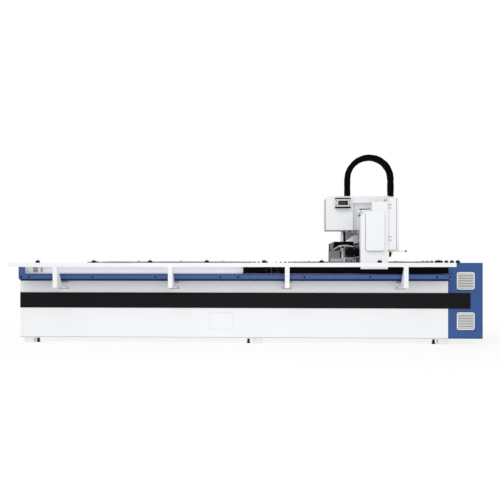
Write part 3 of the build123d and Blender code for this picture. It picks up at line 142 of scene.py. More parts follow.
FINISHES = {
    "white_paint": {"colour": (0.85, 0.855, 0.865), "rough": 0.38, "vary": 0.02, "shine": 0.4},
    "grey_paint": {"colour": (0.73, 0.74, 0.76), "rough": 0.42, "vary": 0.05, "shine": 0.4},
    # A mid grey used only for the painted highlight along the shroud's arch
    "painted_highlight_grey": {"colour": (0.56, 0.56, 0.545), "rough": 0.42, "vary": 0.05, "shine": 0.4},
    "louvre_pale": {"colour": (0.63, 0.63, 0.61), "rough": 0.42, "vary": 0.05, "shine": 0.4},
    # A near black for the indicator's lamps, also used for painted shade by the rear drive guard
    "near_black_and_shade": {"colour": (0.055, 0.055, 0.06), "rough": 0.45, "vary": 0.1, "shine": 0.2},
    # A dark grey for real parts, also used for painted shade under the brackets, on the gantry feet and
    # round the covers' oblongs, and for the painted highlight on the shroud's bevelled end
    "dark_grey_and_painted_light": {"colour": (0.20, 0.20, 0.225), "rough": 0.5, "vary": 0.12, "shine": 0.3},
    # A mid grey for real grey parts, also used for strips of painted shade on the grilles and at the head
    # cover's edges
    "mid_grey_and_shade": {"colour": (0.34, 0.34, 0.33), "rough": 0.5, "vary": 0.15, "shine": 0.3},
    # The next two darker blues are painted shade, on the shelf's folds, under the grilles and down the
    # cabinet's right edge; the first also draws the cabinet's bottom line and its joint with the bed
    "dark_navy_and_shade": {"colour": (0.008, 0.022, 0.072), "rough": 0.42, "vary": 0.1, "shine": 0.2},
    "painted_shade_blue": {"colour": (0.020, 0.045, 0.135), "rough": 0.42, "vary": 0.1, "shine": 0.2},
    "window_black": {"colour": (0.004, 0.004, 0.005), "rough": 0.12, "vary": 0.1, "shine": 0.3},
    "drawer_paint": {"colour": (0.74, 0.755, 0.78), "rough": 0.42, "vary": 0.04, "shine": 0.4},
    "blue_paint": {"colour": (0.030, 0.088, 0.275), "rough": 0.45, "shine": 0.3},
    "shelf_paint": {"colour": (0.050, 0.102, 0.305), "rough": 0.42, "vary": 0.08, "shine": 0.35},
    "black_paint": {"colour": (0.0100, 0.0100, 0.0108), "rough": 0.35, "vary": 0.1, "shine": 0.05},
    "motor_black": {"colour": (0.0018, 0.0018, 0.0045), "rough": 0.5, "vary": 0.1, "shine": 0.04},
    "black_plastic": {"colour": (0.0024, 0.0024, 0.0027), "rough": 0.6, "vary": 0.12, "shine": 0.03},
    "switch_yellow": {"colour": (0.40, 0.44, 0.07), "rough": 0.35, "vary": 0.05, "shine": 0.4},
    "machined_steel": {
        "colour": (0.56, 0.57, 0.59),
        "rough": 0.28,
        "metal": 0.9,
        "stretch": (0.05, 1.0, 1.0),
        "grain": 500.0,
    },
    "slat_steel": {
        "colour": (0.34, 0.33, 0.32),
        "rough": 0.5,
        "metal": 0.6,
        "vary": 0.25,
        "stretch": (1.0, 0.3, 1.0),
        "wear": 0.4,
    },
    "ball_steel": {"colour": (0.66, 0.67, 0.69), "rough": 0.16, "metal": 0.95, "vary": 0.05},
    "nozzle_steel": {"colour": (0.86, 0.87, 0.88), "rough": 0.3, "metal": 0.3, "vary": 0.04},
    "foot_steel": {"colour": (0.80, 0.805, 0.81), "rough": 0.42, "metal": 0.1, "vary": 0.05},
}
finishes = {name: finish_of(name, **values) for name, values in FINISHES.items()}

# Nodes of the part that show a finish other than their slot's
NODE_LOOKS = {"z_plate": "dark_grey_and_painted_light"}
slots = {part["node"]: part["material_slot"] for part in frame["record"]["subparts"]}
for node_name, node_object in frame["nodes"].items():
    look = NODE_LOOKS.get(node_name, slots[node_name])
    node_object.material_slots[0].material = finishes[look]

# Geometry helpers, in metres

FRONT = -1.0
REAR = 1.0
SIDES = (FRONT, REAR)
CORNER_STEPS = 6


class Form:
    """A mesh put together from simple shapes."""

    def __init__(self):
        self.mesh = bmesh.new()

    def box(self, low, high, bevel=0.0):
        """A box between two corners, with optional rounded edges."""
        low, high = Vector(low), Vector(high)
        size = high - low
        matrix = Matrix.Translation((low + high) / 2) @ Matrix.Diagonal((*size, 1.0))
        made = bmesh.ops.create_cube(self.mesh, size=1.0, matrix=matrix)
        if bevel:
            edges = list({e for v in made["verts"] for e in v.link_edges})
            bmesh.ops.bevel(self.mesh, geom=edges, offset=bevel, segments=2, affect="EDGES", profile=0.5)

    def side_box(self, side, xs, outs, zs, bevel=0.0):
        """A box on the front or rear side, its depth given as two distances from the middle plane."""
        y0, y1 = sorted(side * out for out in outs)
        self.box((xs[0], y0, zs[0]), (xs[1], y1, zs[1]), bevel)

    def rod(self, start, end, radius, sides=24, end_radius=None):
        """A round bar or cone between two points."""
        start, end = Vector(start), Vector(end)
        along = end - start
        turn = Vector((0, 0, 1)).rotation_difference(along).to_matrix().to_4x4()
        bmesh.ops.create_cone(
            self.mesh,
            cap_ends=True,
            segments=sides,
            radius1=radius,
            radius2=radius if end_radius is None else end_radius,
            depth=along.length,
            matrix=Matrix.Translation((start + end) / 2) @ turn,
        )

    def side_rod(self, side, x, z, outs, radius, sides=24, end_radius=None):
        """A bar along Y on the front or rear side, between two distances from the middle plane."""
        self.rod((x, side * outs[0], z), (x, side * outs[1], z), radius, sides, end_radius)

    def ball(self, centre, radius, sides=20):
        """A sphere."""
        bmesh.ops.create_uvsphere(
            self.mesh,
            u_segments=sides,
            v_segments=sides // 2,
            radius=radius,
            matrix=Matrix.Translation(centre),
        )

    def prism(self, points, shift):
        """A flat outline of 3-D points, carried along a vector."""
        shift = Vector(shift)
        low = [self.mesh.verts.new(p) for p in points]
        high = [self.mesh.verts.new(Vector(p) + shift) for p in points]
        self.mesh.faces.new(low)
        self.mesh.faces.new(reversed(high))
        count = len(points)
        for i in range(count):
            j = (i + 1) % count
            self.mesh.faces.new((low[j], low[i], high[i], high[j]))

    def turned(self, profile, base, sides):
        """A turned piece on a vertical axis, from radius and height pairs above its base point."""
        rings = []
        for radius, height in profile:
            z = base[2] + height
            if radius < 1e-6:
                rings.append([self.mesh.verts.new((base[0], base[1], z))])
                continue
            angles = [2 * math.pi * i / sides for i in range(sides)]
            points = [(base[0] + radius * math.cos(a), base[1] + radius * math.sin(a), z) for a in angles]
            rings.append([self.mesh.verts.new(point) for point in points])
        for lower, upper in zip(rings, rings[1:]):
            for i in range(sides):
                j = (i + 1) % sides
                corners = [lower[i % len(lower)], lower[j % len(lower)]]
                corners += [upper[j % len(upper)], upper[i % len(upper)]]
                corners = list(dict.fromkeys(corners))
                if len(corners) > 2:
                    self.mesh.faces.new(corners)

    def ring(self, inner, outer, ys):
        """A flat frame between two outlines in X and Z that have the same number of points."""
        loops = []
        for y, line in ((ys[0], inner), (ys[0], outer), (ys[1], outer), (ys[1], inner)):
            loops.append([self.mesh.verts.new((x, y, z)) for x, z in line])
        count = len(inner)
        for a, b in ((0, 1), (1, 2), (2, 3), (3, 0)):
            for i in range(count):
                j = (i + 1) % count
                self.mesh.faces.new((loops[a][i], loops[a][j], loops[b][j], loops[b][i]))

    def piece(self, name, body, slot, node=None, smooth=35.0, look=None):
        """Ends the form as an object that rides on a body and may stand for a node."""
        bmesh.ops.recalc_face_normals(self.mesh, faces=self.mesh.faces)
        data = bpy.data.meshes.new(name)
        self.mesh.to_mesh(data)
        self.mesh.free()
        made = bpy.data.objects.new(name, data)
        bpy.context.scene.collection.objects.link(made)
        data.materials.append(finishes[look or slot])
        smooth_by_angle(data, smooth)
        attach(made, body)
        if node:
            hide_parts(node)


def smooth_by_angle(data, degrees):
    """Shades smooth, with a sharp edge wherever two faces meet at more than the angle."""
    for face in data.polygons:
        face.use_smooth = True
    data.set_sharp_from_angle(angle=math.radians(degrees))


def span(node):
    """Lowest and highest corner of a node's box."""
    low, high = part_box(node)
    return Vector(low), Vector(high)


def rounded(x0, x1, z0, z1, radius):
    """Corner points of a rounded rectangle in X and Z."""
    points = []
    for cx, cz, start in (
        (x1 - radius, z1 - radius, 0.0),
        (x0 + radius, z1 - radius, 90.0),
        (x0 + radius, z0 + radius, 180.0),
        (x1 - radius, z0 + radius, 270.0),
    ):
        for i in range(CORNER_STEPS + 1):
            angle = math.radians(start + 90.0 * i / CORNER_STEPS)
            points.append((cx + radius * math.cos(angle), cz + radius * math.sin(angle)))
    return points


# Places that several sections share, the gap behind thin trim and how deep screw heads sink in

rail_low, rail_high = span("front_feed_rail")
cabinet_high = span("cabinet_shell")[1]
BED_LEFT = rail_low.x
BED_RIGHT = rail_high.x
BED_LENGTH = BED_RIGHT - BED_LEFT
RAIL_OUT = rail_low.y * FRONT
RAIL_TOP = rail_high.z
CABINET_TOP = cabinet_high.z
CABINET_RIGHT = cabinet_high.x
WALL = cabinet_high.y
SKIN = 0.0002
SINK = 0.001

# Ball transfer units: dark cups with a bright ball

BALL_COUNT = 8
BALL_RADIUS = 0.0145
BALL_TOP = 0.036
BALL_SIDES = 24
FIRST_BALL = 0.284
LAST_BALL = 0.167
RAIL_BALL_INSET = 0.030
CABINET_BALL_INSET = 0.232
CABINET_BALL_REACH = 0.8
CUP_PROFILE = [
    (0.0, 0.0),
    (0.0235, 0.0),
    (0.0235, 0.004),
    (0.0205, 0.006),
    (0.0205, 0.017),
    (0.0185, 0.022),
    (0.0162, 0.022),
    (0.0150, 0.019),
    (0.0, 0.010),
]

ball_places = []
for i in range(BALL_COUNT):
    share = i / (BALL_COUNT - 1)
    x = BED_LEFT + FIRST_BALL + share * (BED_LENGTH - FIRST_BALL - LAST_BALL)
    for side in SIDES:
        ball_places.append((x, side * (RAIL_OUT - RAIL_BALL_INSET), RAIL_TOP))
    y = (2 * share - 1) * CABINET_BALL_REACH
    ball_places.append((CABINET_RIGHT - CABINET_BALL_INSET, y, CABINET_TOP))

ball_cups = Form()
transfer_balls = Form()
for x, y, z in ball_places:
    ball_cups.turned(CUP_PROFILE, (x, y, z), BALL_SIDES)
    transfer_balls.ball((x, y, z + BALL_TOP - BALL_RADIUS), BALL_RADIUS)
ball_cups.piece("ball_cups", "bed", "black_plastic", "ball_units")
transfer_balls.piece("transfer_balls", "bed", "ball_steel", smooth=180.0)

# Slats with fine teeth

SLAT_PITCH = 0.050
SLAT_THICKNESS = 0.003
SLAT_INSET = 0.002
SLAT_TEETH = 30
TOOTH_DEPTH = 0.022
TOOTH_TIP = (0.42, 0.58)

slat_low, slat_high = span("slats")
slat_half = slat_high.y
tooth_root = slat_high.z - TOOTH_DEPTH
tooth = 2 * slat_half / SLAT_TEETH
slat_line = [(-slat_half, slat_low.z), (slat_half, slat_low.z)]
for i in range(SLAT_TEETH):
    right = slat_half - i * tooth
    slat_line.append((right, tooth_root))
    slat_line += [(right - tooth * share, slat_high.z) for share in TOOTH_TIP]
slat_line.append((-slat_half, tooth_root))
slat_count = round((slat_high.x - slat_low.x - 2 * SLAT_INSET) / SLAT_PITCH) + 1
slat_xs = [slat_low.x + SLAT_INSET + i * SLAT_PITCH for i in range(slat_count)]
toothed_slats = Form()
for x in slat_xs:
    toothed_slats.prism([(x - SLAT_THICKNESS / 2, y, z) for y, z in slat_line], (SLAT_THICKNESS, 0.0, 0.0))
toothed_slats.piece("toothed_slats", "bed", "slat_steel", "slats")

# Slotted combs that hold the slats, each with its foot along the bottom

COMB_FACE = 0.696
COMB_THICKNESS = 0.008
COMB_FOOT = 0.003
SLOT_HALF = 0.0023

comb_low, comb_high = span("slat_combs")
comb_bottom = comb_low.z + COMB_FOOT
comb_line = [(comb_low.x, comb_bottom), (comb_high.x, comb_bottom), (comb_high.x, comb_high.z)]
for x in reversed(slat_xs):
    comb_line += [(x + SLOT_HALF, comb_high.z), (x + SLOT_HALF, slat_low.z)]
    comb_line += [(x - SLOT_HALF, slat_low.z), (x - SLOT_HALF, comb_high.z)]
comb_line.append((comb_low.x, comb_high.z))
comb_bars = Form()
for side in SIDES:
    comb_bars.prism([(x, side * COMB_FACE, z) for x, z in comb_line], (0.0, side * COMB_THICKNESS, 0.0))
    comb_bars.side_box(side, (comb_low.x, comb_high.x), (COMB_FACE, comb_high.y), (comb_low.z, comb_bottom))
comb_bars.piece("comb_bars", "bed", "slat_steel", "slat_combs")

# Gear racks with teeth, and pinions that run beside them


def rack(form, ends, back, tip, heights, pitch, depth, along_y=False):
    """A toothed bar between its ends, its back and its tooth tips on two parallel lines."""
    start, end = ends
    root = tip - math.copysign(depth, tip - back)
    line = [(start, back), (end, back)]
    for i in reversed(range(int((end - start) / pitch))):
        for share, out in ((0.90, root), (0.66, tip), (0.34, tip), (0.10, root)):
            line.append((start + (i + share) * pitch, out))
    line.append((start, root))
    points = [(b, a, heights[0]) if along_y else (a, b, heights[0]) for a, b in line]
    form.prism(points, (0.0, 0.0, heights[1] - heights[0]))


def pinion(node, width, tip, root, teeth, shaft, shaft_sides):
    """A spur gear on a vertical axis with its shaft above it, in place of its node."""
    low, high = span(node)
    x = (low.x + high.x) / 2
    y = (low.y + high.y) / 2
    points = []
    for i in range(teeth):
        for share, radius in ((0.08, root), (0.32, tip), (0.56, tip), (0.80, root)):
            angle = 2 * math.pi * (i + share) / teeth
            points.append((x + radius * math.cos(angle), y + radius * math.sin(angle), low.z))
    wheel = Form()
    wheel.prism(points, (0.0, 0.0, width))
    wheel.rod((x, y, low.z + width), (x, y, high.z), shaft, shaft_sides)
    wheel.piece(node + "_gear", node, "machined_steel", node)


RACK_WIDTH = 0.018

rack_low, rack_high = span("x_racks")
toothed_racks = Form()
for side in SIDES:
    rack(
        toothed_racks,
        ends=(rack_low.x, rack_high.x),
        back=side * (rack_high.y - RACK_WIDTH),
        tip=side * rack_high.y,
        heights=(rack_low.z, rack_high.z),
        pitch=0.0096,
        depth=0.005,
    )
toothed_racks.piece("toothed_racks", "bed", "machined_steel", "x_racks")
cross_low, cross_high = span("y_rack")
cross_rack = Form()
rack(
    cross_rack,
    ends=(cross_low.y, cross_high.y),
    back=cross_high.x,
    tip=cross_low.x,
    heights=(cross_low.z, cross_high.z),
    pitch=0.0075,
    depth=0.004,
    along_y=True,
)
cross_rack.piece("cross_rack", "gantry", "machined_steel", "y_rack")
for node in ("front_x_pinion", "rear_x_pinion"):
    pinion(node, width=0.018, tip=0.0272, root=0.0222, teeth=18, shaft=0.0100, shaft_sides=24)
pinion("y_pinion", width=0.015, tip=0.0168, root=0.0128, teeth=14, shaft=0.0072, shaft_sides=20)

# Screws along the guide rails of the bed and of the gantry

RAIL_SCREWS = 38
RAIL_SCREW_PITCH = 0.1
FIRST_RAIL_SCREW = 0.05
RAIL_HALF = 0.014
GUIDE_SCREWS = 21
GUIDE_SCREW_PITCH = 0.08
FIRST_GUIDE_SCREW = 0.07
GUIDE_HALF = 0.010
SCREW_RISE = 0.0001

bed_rail_low, bed_rail_high = span("x_rails")
rail_screws = Form()
for i in range(RAIL_SCREWS):
    x = bed_rail_low.x + FIRST_RAIL_SCREW + i * RAIL_SCREW_PITCH
    for side in SIDES:
        y = side * (bed_rail_high.y - RAIL_HALF)
        rail_screws.rod((x, y, bed_rail_high.z - SINK), (x, y, bed_rail_high.z + SCREW_RISE), 0.0065, 12)
rail_screws.piece("rail_screws", "bed", "black_plastic")
guide_low, guide_high = span("y_rails")
guide_screws = Form()
for i in range(GUIDE_SCREWS):
    y = guide_low.y + FIRST_GUIDE_SCREW + i * GUIDE_SCREW_PITCH
    for z in (guide_low.z + GUIDE_HALF, guide_high.z - GUIDE_HALF):
        guide_screws.rod((guide_low.x + SINK, y, z), (guide_low.x - SCREW_RISE, y, z), 0.0045, 10)
guide_screws.piece("guide_screws", "gantry", "black_plastic")

# Shelf: its screws, the seam between its two lengths, and darker blue strips of painted shade along the
# folds at its edges

SHELF_SCREW_XS = (-2.288, -2.207, -1.554, -0.912, -0.255, -0.076, 0.586, 1.237, 1.897, 2.022)
SHELF_SCREW_Z = 0.686
SHELF_SCREW_HEIGHT = 0.003
SHELF_SEAM_XS = (-0.0580, -0.0560)
SHELF_SEAM_ZS = (0.649, 0.7155)
LOWER_FOLD_ZS = (0.6465, 0.6680)
LOWER_FOLD_INSET = 0.024
UPPER_FOLD_ZS = (0.7080, 0.7161)
UPPER_FOLD_INSET = 0.060
FOLD_BEVEL = 0.0005

shelf_low, shelf_high = span("front_shelf")
shelf_out = shelf_low.y * FRONT
shelf_screws = Form()
for x in SHELF_SCREW_XS:
    for side in SIDES:
        outs = (shelf_out, shelf_out + SHELF_SCREW_HEIGHT)
        shelf_screws.side_rod(side, x, SHELF_SCREW_Z, outs, 0.0095, 16, 0.008)
for side in SIDES:
    shelf_screws.side_box(side, SHELF_SEAM_XS, (shelf_out - 0.002, shelf_out + 0.0004), SHELF_SEAM_ZS)
shelf_screws.piece("shelf_screws", "bed", "black_plastic")
# Darker blue strips painted as the shade on the shelf's lower and upper folds
lower_fold_shade = Form()
upper_fold_shade = Form()
lower_xs = (shelf_low.x + LOWER_FOLD_INSET, shelf_high.x - LOWER_FOLD_INSET)
upper_xs = (shelf_low.x + UPPER_FOLD_INSET, shelf_high.x)
for side in SIDES:
    outs = (shelf_out - 0.0010, shelf_out + 0.0006)
    lower_fold_shade.side_box(side, lower_xs, outs, LOWER_FOLD_ZS, FOLD_BEVEL)
    upper_fold_shade.side_box(side, upper_xs, outs, UPPER_FOLD_ZS, FOLD_BEVEL)
lower_fold_shade.piece("shelf_lower_fold_shade", "bed", "shelf_paint", look="dark_navy_and_shade")
upper_fold_shade.piece("shelf_upper_fold_shade", "bed", "shelf_paint", look="painted_shade_blue")

# Pale ledge along the side sheet over the shelf, and the clamp at its left end

LEDGE_RIGHT = -0.035
LEDGE_INSET = 0.058
LEDGE_OUT = 0.900
LEDGE_ZS = (0.7162, 0.731)
CLAMP_OUT = 0.885
CLAMP_ZS = (0.732, 0.785)

wall_ledge = Form()
wall_clamps = Form()
for side in SIDES:
    ledge_xs = (shelf_low.x + LEDGE_INSET, LEDGE_RIGHT)
    wall_ledge.side_box(side, ledge_xs, (WALL + SKIN, LEDGE_OUT), LEDGE_ZS, 0.0015)
    for xs, bevel in (((-2.215, -2.175), 0.002), ((-2.133, -2.127), 0.001)):
        wall_clamps.side_box(side, xs, (WALL + SKIN, CLAMP_OUT), CLAMP_ZS, bevel)
wall_ledge.piece("wall_ledge", "bed", "white_paint")
wall_clamps.piece("wall_clamps", "bed", "grey_paint", look="mid_grey_and_shade")

# Seams of the end sheet, above and below the trim band

SHEET_SEAM_XS = (-2.3255, -2.3235)
SHEET_SEAM_ZS = ((0.053, 0.362), (0.525, 0.645))

end_sheet_seams = Form()
for side in SIDES:
    for zs in SHEET_SEAM_ZS:
        end_sheet_seams.side_box(side, SHEET_SEAM_XS, (WALL - 0.0010, WALL + 0.0003), zs)
end_sheet_seams.piece("end_sheet_seams", "bed", "grey_paint")

# Access hatch: the seal round it and its four screws

HATCH_RADIUS = 0.014
SEAL_WIDTH = 0.0035
HATCH_SCREW_INSET = 0.014

hatch_low, hatch_high = span("access_hatch")
hatch_seal = Form()
hatch_seal.ring(
    rounded(hatch_low.x, hatch_high.x, hatch_low.z, hatch_high.z, HATCH_RADIUS),
    rounded(
        hatch_low.x - SEAL_WIDTH,
        hatch_high.x + SEAL_WIDTH,
        hatch_low.z - SEAL_WIDTH,
        hatch_high.z + SEAL_WIDTH,
        HATCH_RADIUS + SEAL_WIDTH,
    ),
    (hatch_low.y - 0.0006, hatch_low.y + 0.002),
)
hatch_seal.piece("hatch_seal", "bed", "grey_paint")
hatch_screws = Form()
hatch_out = hatch_low.y * FRONT
for x in (hatch_low.x + HATCH_SCREW_INSET, hatch_high.x - HATCH_SCREW_INSET):
    for z in (hatch_low.z + HATCH_SCREW_INSET, hatch_high.z - HATCH_SCREW_INSET):
        hatch_screws.side_rod(FRONT, x, z, (hatch_out - SINK, hatch_out + 0.0012), 0.0035, 14, 0.0028)
hatch_screws.piece("hatch_screws", "bed", "machined_steel")

# Bolts of the trim bands

BAND_BOLT_XS = (-2.315, 2.214, 2.236)
BAND_BOLT_ZS = (0.378, 0.510)
BAND_BOLT_HEIGHT = 0.003

band_out = span("side_bands")[1].y
band_bolts = Form()
for x in BAND_BOLT_XS:
    for z in BAND_BOLT_ZS:
        for side in SIDES:
            band_bolts.side_rod(side, x, z, (band_out, band_out + BAND_BOLT_HEIGHT), 0.006, 14, 0.005)
band_bolts.piece("band_bolts", "bed", "black_paint")

# Brackets: wall flanges with hexagon bolts, a dark line of painted shade under each, and rivets at the rail

BRACKETS = 4
FIRST_BRACKET = 0.466
LAST_BRACKET = 0.481
FLANGE_HALF = 0.045
FLANGE_OUT = 0.868
FLANGE_ZS = (0.566, 0.644)
LINE_HALF = 0.052
LINE_ZS = (0.5610, 0.5658)
BOLT_OFFSET = 0.034
BOLT_ZS = (0.577, 0.633)
BOLT_HEIGHT = 0.006
RIVET_ZS = (0.640, 0.700, 0.760)

bracket_flanges = Form()
bracket_bolts_and_shade = Form()
for i in range(BRACKETS):
    x = BED_LEFT + FIRST_BRACKET + i * (BED_LENGTH - FIRST_BRACKET - LAST_BRACKET) / (BRACKETS - 1)
    for side in SIDES:
        flange_xs = (x - FLANGE_HALF, x + FLANGE_HALF)
        line_xs = (x - LINE_HALF, x + LINE_HALF)
        bracket_flanges.side_box(side, flange_xs, (WALL + SKIN, FLANGE_OUT), FLANGE_ZS, 0.0012)
        # A dark strip painted as the shade under the flange
        bracket_bolts_and_shade.side_box(side, line_xs, (WALL + SKIN, FLANGE_OUT - 0.0005), LINE_ZS)
        for dx in (-BOLT_OFFSET, BOLT_OFFSET):
            for z in BOLT_ZS:
                outs = (FLANGE_OUT, FLANGE_OUT + BOLT_HEIGHT)
                bracket_bolts_and_shade.side_rod(side, x + dx, z, outs, 0.0065, 6)
        for z in RIVET_ZS:
            bracket_bolts_and_shade.side_rod(side, x, z, (RAIL_OUT - SINK, RAIL_OUT + 0.0006), 0.0028, 10)
bracket_flanges.piece("bracket_flanges", "bed", "white_paint")
bracket_bolts_and_shade.piece("bracket_bolts_and_shade", "bed", "foot_steel", look="dark_grey_and_painted_light")

# A dark grey line along the bottom of the side sheets

EDGE_LINE_BOTTOM = 0.0602
PANEL_LINE_TOP = 0.0640
BOTTOM_LINE_OUTS = (WALL - 0.0010, WALL + 0.0006)

panel_bottom_line = Form()
for side in SIDES:
    panel_bottom_line.side_box(side, (BED_LEFT + 0.001, BED_RIGHT - 0.001), BOTTOM_LINE_OUTS, (EDGE_LINE_BOTTOM, PANEL_LINE_TOP))
panel_bottom_line.piece("panel_bottom_line", "bed", "white_paint", look="mid_grey_and_shade")

# Feet: pale blocks, and black levelling bolts with two nuts beside them

FOOT_OUT = 0.805
FOOT_HALF_LENGTH = 0.048
FOOT_HALF_WIDTH = 0.045
FOOT_HEIGHT = 0.052
PAD_PROFILE = [(0.0, 0.0), (0.019, 0.0), (0.019, 0.008), (0.014, 0.014), (0.0, 0.014)]
PAD_TOP = 0.014
LEVELLING_RADIUS = 0.0085
NUT_RADIUS = 0.0165
NUT_ZS = ((0.020, 0.032), (0.038, 0.050))

foot_blocks = Form()
levelling_bolts = Form()
bed_middle = (BED_LEFT + BED_RIGHT) / 2
for x, offset in ((BED_LEFT + 0.091, 0.083), (bed_middle + 0.269, -0.092), (BED_RIGHT - 0.048, -0.086)):
    bolt_x = x + offset
    for side in SIDES:
        y = side * FOOT_OUT
        foot_xs = (x - FOOT_HALF_LENGTH, x + FOOT_HALF_LENGTH)
        foot_outs = (FOOT_OUT - FOOT_HALF_WIDTH, FOOT_OUT + FOOT_HALF_WIDTH)
        foot_blocks.side_box(side, foot_xs, foot_outs, (0.0, FOOT_HEIGHT), 0.002)
        levelling_bolts.turned(PAD_PROFILE, (bolt_x, y, 0.0), 24)
        levelling_bolts.rod((bolt_x, y, PAD_TOP), (bolt_x, y, FOOT_HEIGHT), LEVELLING_RADIUS, 20)
        for z0, z1 in NUT_ZS:
            levelling_bolts.rod((bolt_x, y, z0), (bolt_x, y, z1), NUT_RADIUS, 6)
foot_blocks.piece("foot_blocks", "bed", "foot_steel", "feet")
levelling_bolts.piece("levelling_bolts", "bed", "black_plastic")

# Grilles: a pale raised frame with six sloping louvres, a strip of painted shade along each louvre, and a
# dark blue painted shadow below and beside the frame

GRILLE_ZS = ((0.150, 0.327), (0.558, 0.735))
GRILLE_INSET = 0.087
GRILLE_WIDTH = 0.1765
GRILLE_OUT = 0.869
RIM = 0.009
LOUVRES = 6

grille_x0 = BED_RIGHT + GRILLE_INSET
grille_x1 = grille_x0 + GRILLE_WIDTH
blade_x0 = grille_x0 + RIM
blade_x1 = grille_x1 - RIM
grille_frames = Form()
grille_louvres = Form()
louvre_shade_strips = Form()
grille_painted_shadow = Form()
for z0, z1 in GRILLE_ZS:
    pitch = (z1 - z0 - 2 * RIM) / LOUVRES
    rims = [((grille_x0, blade_x0), (z0, z1)), ((blade_x1, grille_x1), (z0, z1))]
    rims += [((grille_x0, grille_x1), (z0, z0 + RIM)), ((grille_x0, grille_x1), (z1 - RIM, z1))]
    # Dark blue strips painted as the shadow the frame casts below it and to its right
    shadow_strips = [((grille_x0 + 0.004, grille_x1 + 0.006), (z0 - 0.0080, z0 - 0.0005))]
    shadow_strips += [((grille_x1 + 0.0005, grille_x1 + 0.0065), (z0 - 0.0080, z1 - 0.004))]
    for side in SIDES:
        for xs, zs in rims:
            grille_frames.side_box(side, xs, (WALL, GRILLE_OUT), zs, 0.0003)
        for xs, zs in shadow_strips:
            grille_painted_shadow.side_box(side, xs, (WALL, WALL + 0.0012), zs)
        front_y = side * (GRILLE_OUT - 0.0008)
        back_y = side * (WALL - 0.0015)
        for i in range(LOUVRES):
            low = z0 + RIM + i * pitch
            blade = [
                (blade_x0, front_y, low + 0.001),
                (blade_x0, front_y, low + 0.004),
                (blade_x0, back_y, low + pitch + 0.003),
                (blade_x0, back_y, low + pitch),
            ]
            grille_louvres.prism(blade, (blade_x1 - blade_x0, 0.0, 0.0))
            # A grey strip painted as the shade along the front edge of each louvre
            shade_outs = (GRILLE_OUT - 0.0012, GRILLE_OUT - 0.0004)
            louvre_shade_strips.side_box(side, (blade_x0, blade_x1), shade_outs, (low - 0.0010, low + 0.0055))
grille_frames.piece("grille_frames", "bed", "white_paint", "cabinet_grilles")
grille_louvres.piece("grille_louvres", "bed", "grey_paint", look="louvre_pale")
louvre_shade_strips.piece("louvre_shade_strips", "bed", "grey_paint", look="mid_grey_and_shade")
grille_painted_shadow.piece("grille_painted_shadow", "bed", "blue_paint", look="dark_navy_and_shade")

# Cabinet: three hinges on each door, the inlet gland, and dark lines round each side, the one down the
# right edge being painted shade

HINGE_HALF = 0.030
HINGE_INSET = 0.09
HINGE_OUT = 0.853
HINGE_RADIUS = 0.0024
LEAF_OUTS = (0.815, 0.8505)
LEAF_THICKNESS = 0.0030
GLAND_X = 2.215
GLAND_Z = 0.110
CABINET_LINE_TOP = 0.0680
CABINET_LINE_OUTS = (WALL - 0.0010, WALL + 0.0004)

for node, side in zip(("front_door", "rear_door"), SIDES):
    low, high = span(node)
    hinges = Form()
    for z in (low.z + HINGE_INSET, (low.z + high.z) / 2, high.z - HINGE_INSET):
        y = side * HINGE_OUT
        z0 = z - HINGE_HALF
        z1 = z + HINGE_HALF
        hinges.rod((CABINET_RIGHT, y, z0), (CABINET_RIGHT, y, z1), HINGE_RADIUS, 16)
        leaf_xs = (CABINET_RIGHT + SKIN, CABINET_RIGHT + LEAF_THICKNESS)
        hinges.side_box(side, leaf_xs, LEAF_OUTS, (z0, z1), 0.0006)
    hinges.piece(node + "_hinges", node, "black_plastic")
inlet_gland = Form()
inlet_gland.side_rod(REAR, GLAND_X, GLAND_Z, (WALL + SKIN, 0.872), 0.020, 6)
inlet_gland.side_rod(REAR, GLAND_X, GLAND_Z, (0.872, 0.888), 0.0165, 28, 0.013)
inlet_gland.side_rod(REAR, GLAND_X, GLAND_Z, (0.8885, 0.889), 0.008, 24)
inlet_gland.piece("inlet_gland", "bed", "black_plastic")
cabinet_edge_lines = Form()
# Dark lines along the bottom and at the joint with the bed, and a line of painted shade down the right edge
cabinet_lines = [((BED_RIGHT + 0.001, CABINET_RIGHT - 0.001), CABINET_LINE_TOP)]
cabinet_lines += [((CABINET_RIGHT - 0.0050, CABINET_RIGHT - 0.001), 0.8280)]
cabinet_lines += [((BED_RIGHT + 0.0005, BED_RIGHT + 0.0030), 0.645)]
for side in SIDES:
    for xs, top in cabinet_lines:
        cabinet_edge_lines.side_box(side, xs, CABINET_LINE_OUTS, (EDGE_LINE_BOTTOM, top))
cabinet_edge_lines.piece("cabinet_edge_lines", "bed", "black_paint", look="dark_navy_and_shade")

# Gantry feet: dark grey painted shade on the pale foot plates with their bolts, a guard plate before each
# drive, and near-black painted shade above and beside the rear guard

FOOT_PLATE_INSET = 0.006
FOOT_SHADE_ZS = (0.8380, 0.8835)
FOOT_SHADE_STEP = 0.1105
FOOT_SHADE_RIGHT = 1.4190
GUARD_OUTS = (0.8000, 0.8030)
GUARD_TOP = 0.9850
REAR_GUARD_LEFT = 0.9770
REAR_GUARD_RIGHT = 1.1190
REAR_GUARD_BOTTOM = 0.8450
GUARD_SHADE_RIGHT = 1.1310

drive_low, drive_high = span("x_drives")
foot_left = drive_low.x - FOOT_PLATE_INSET
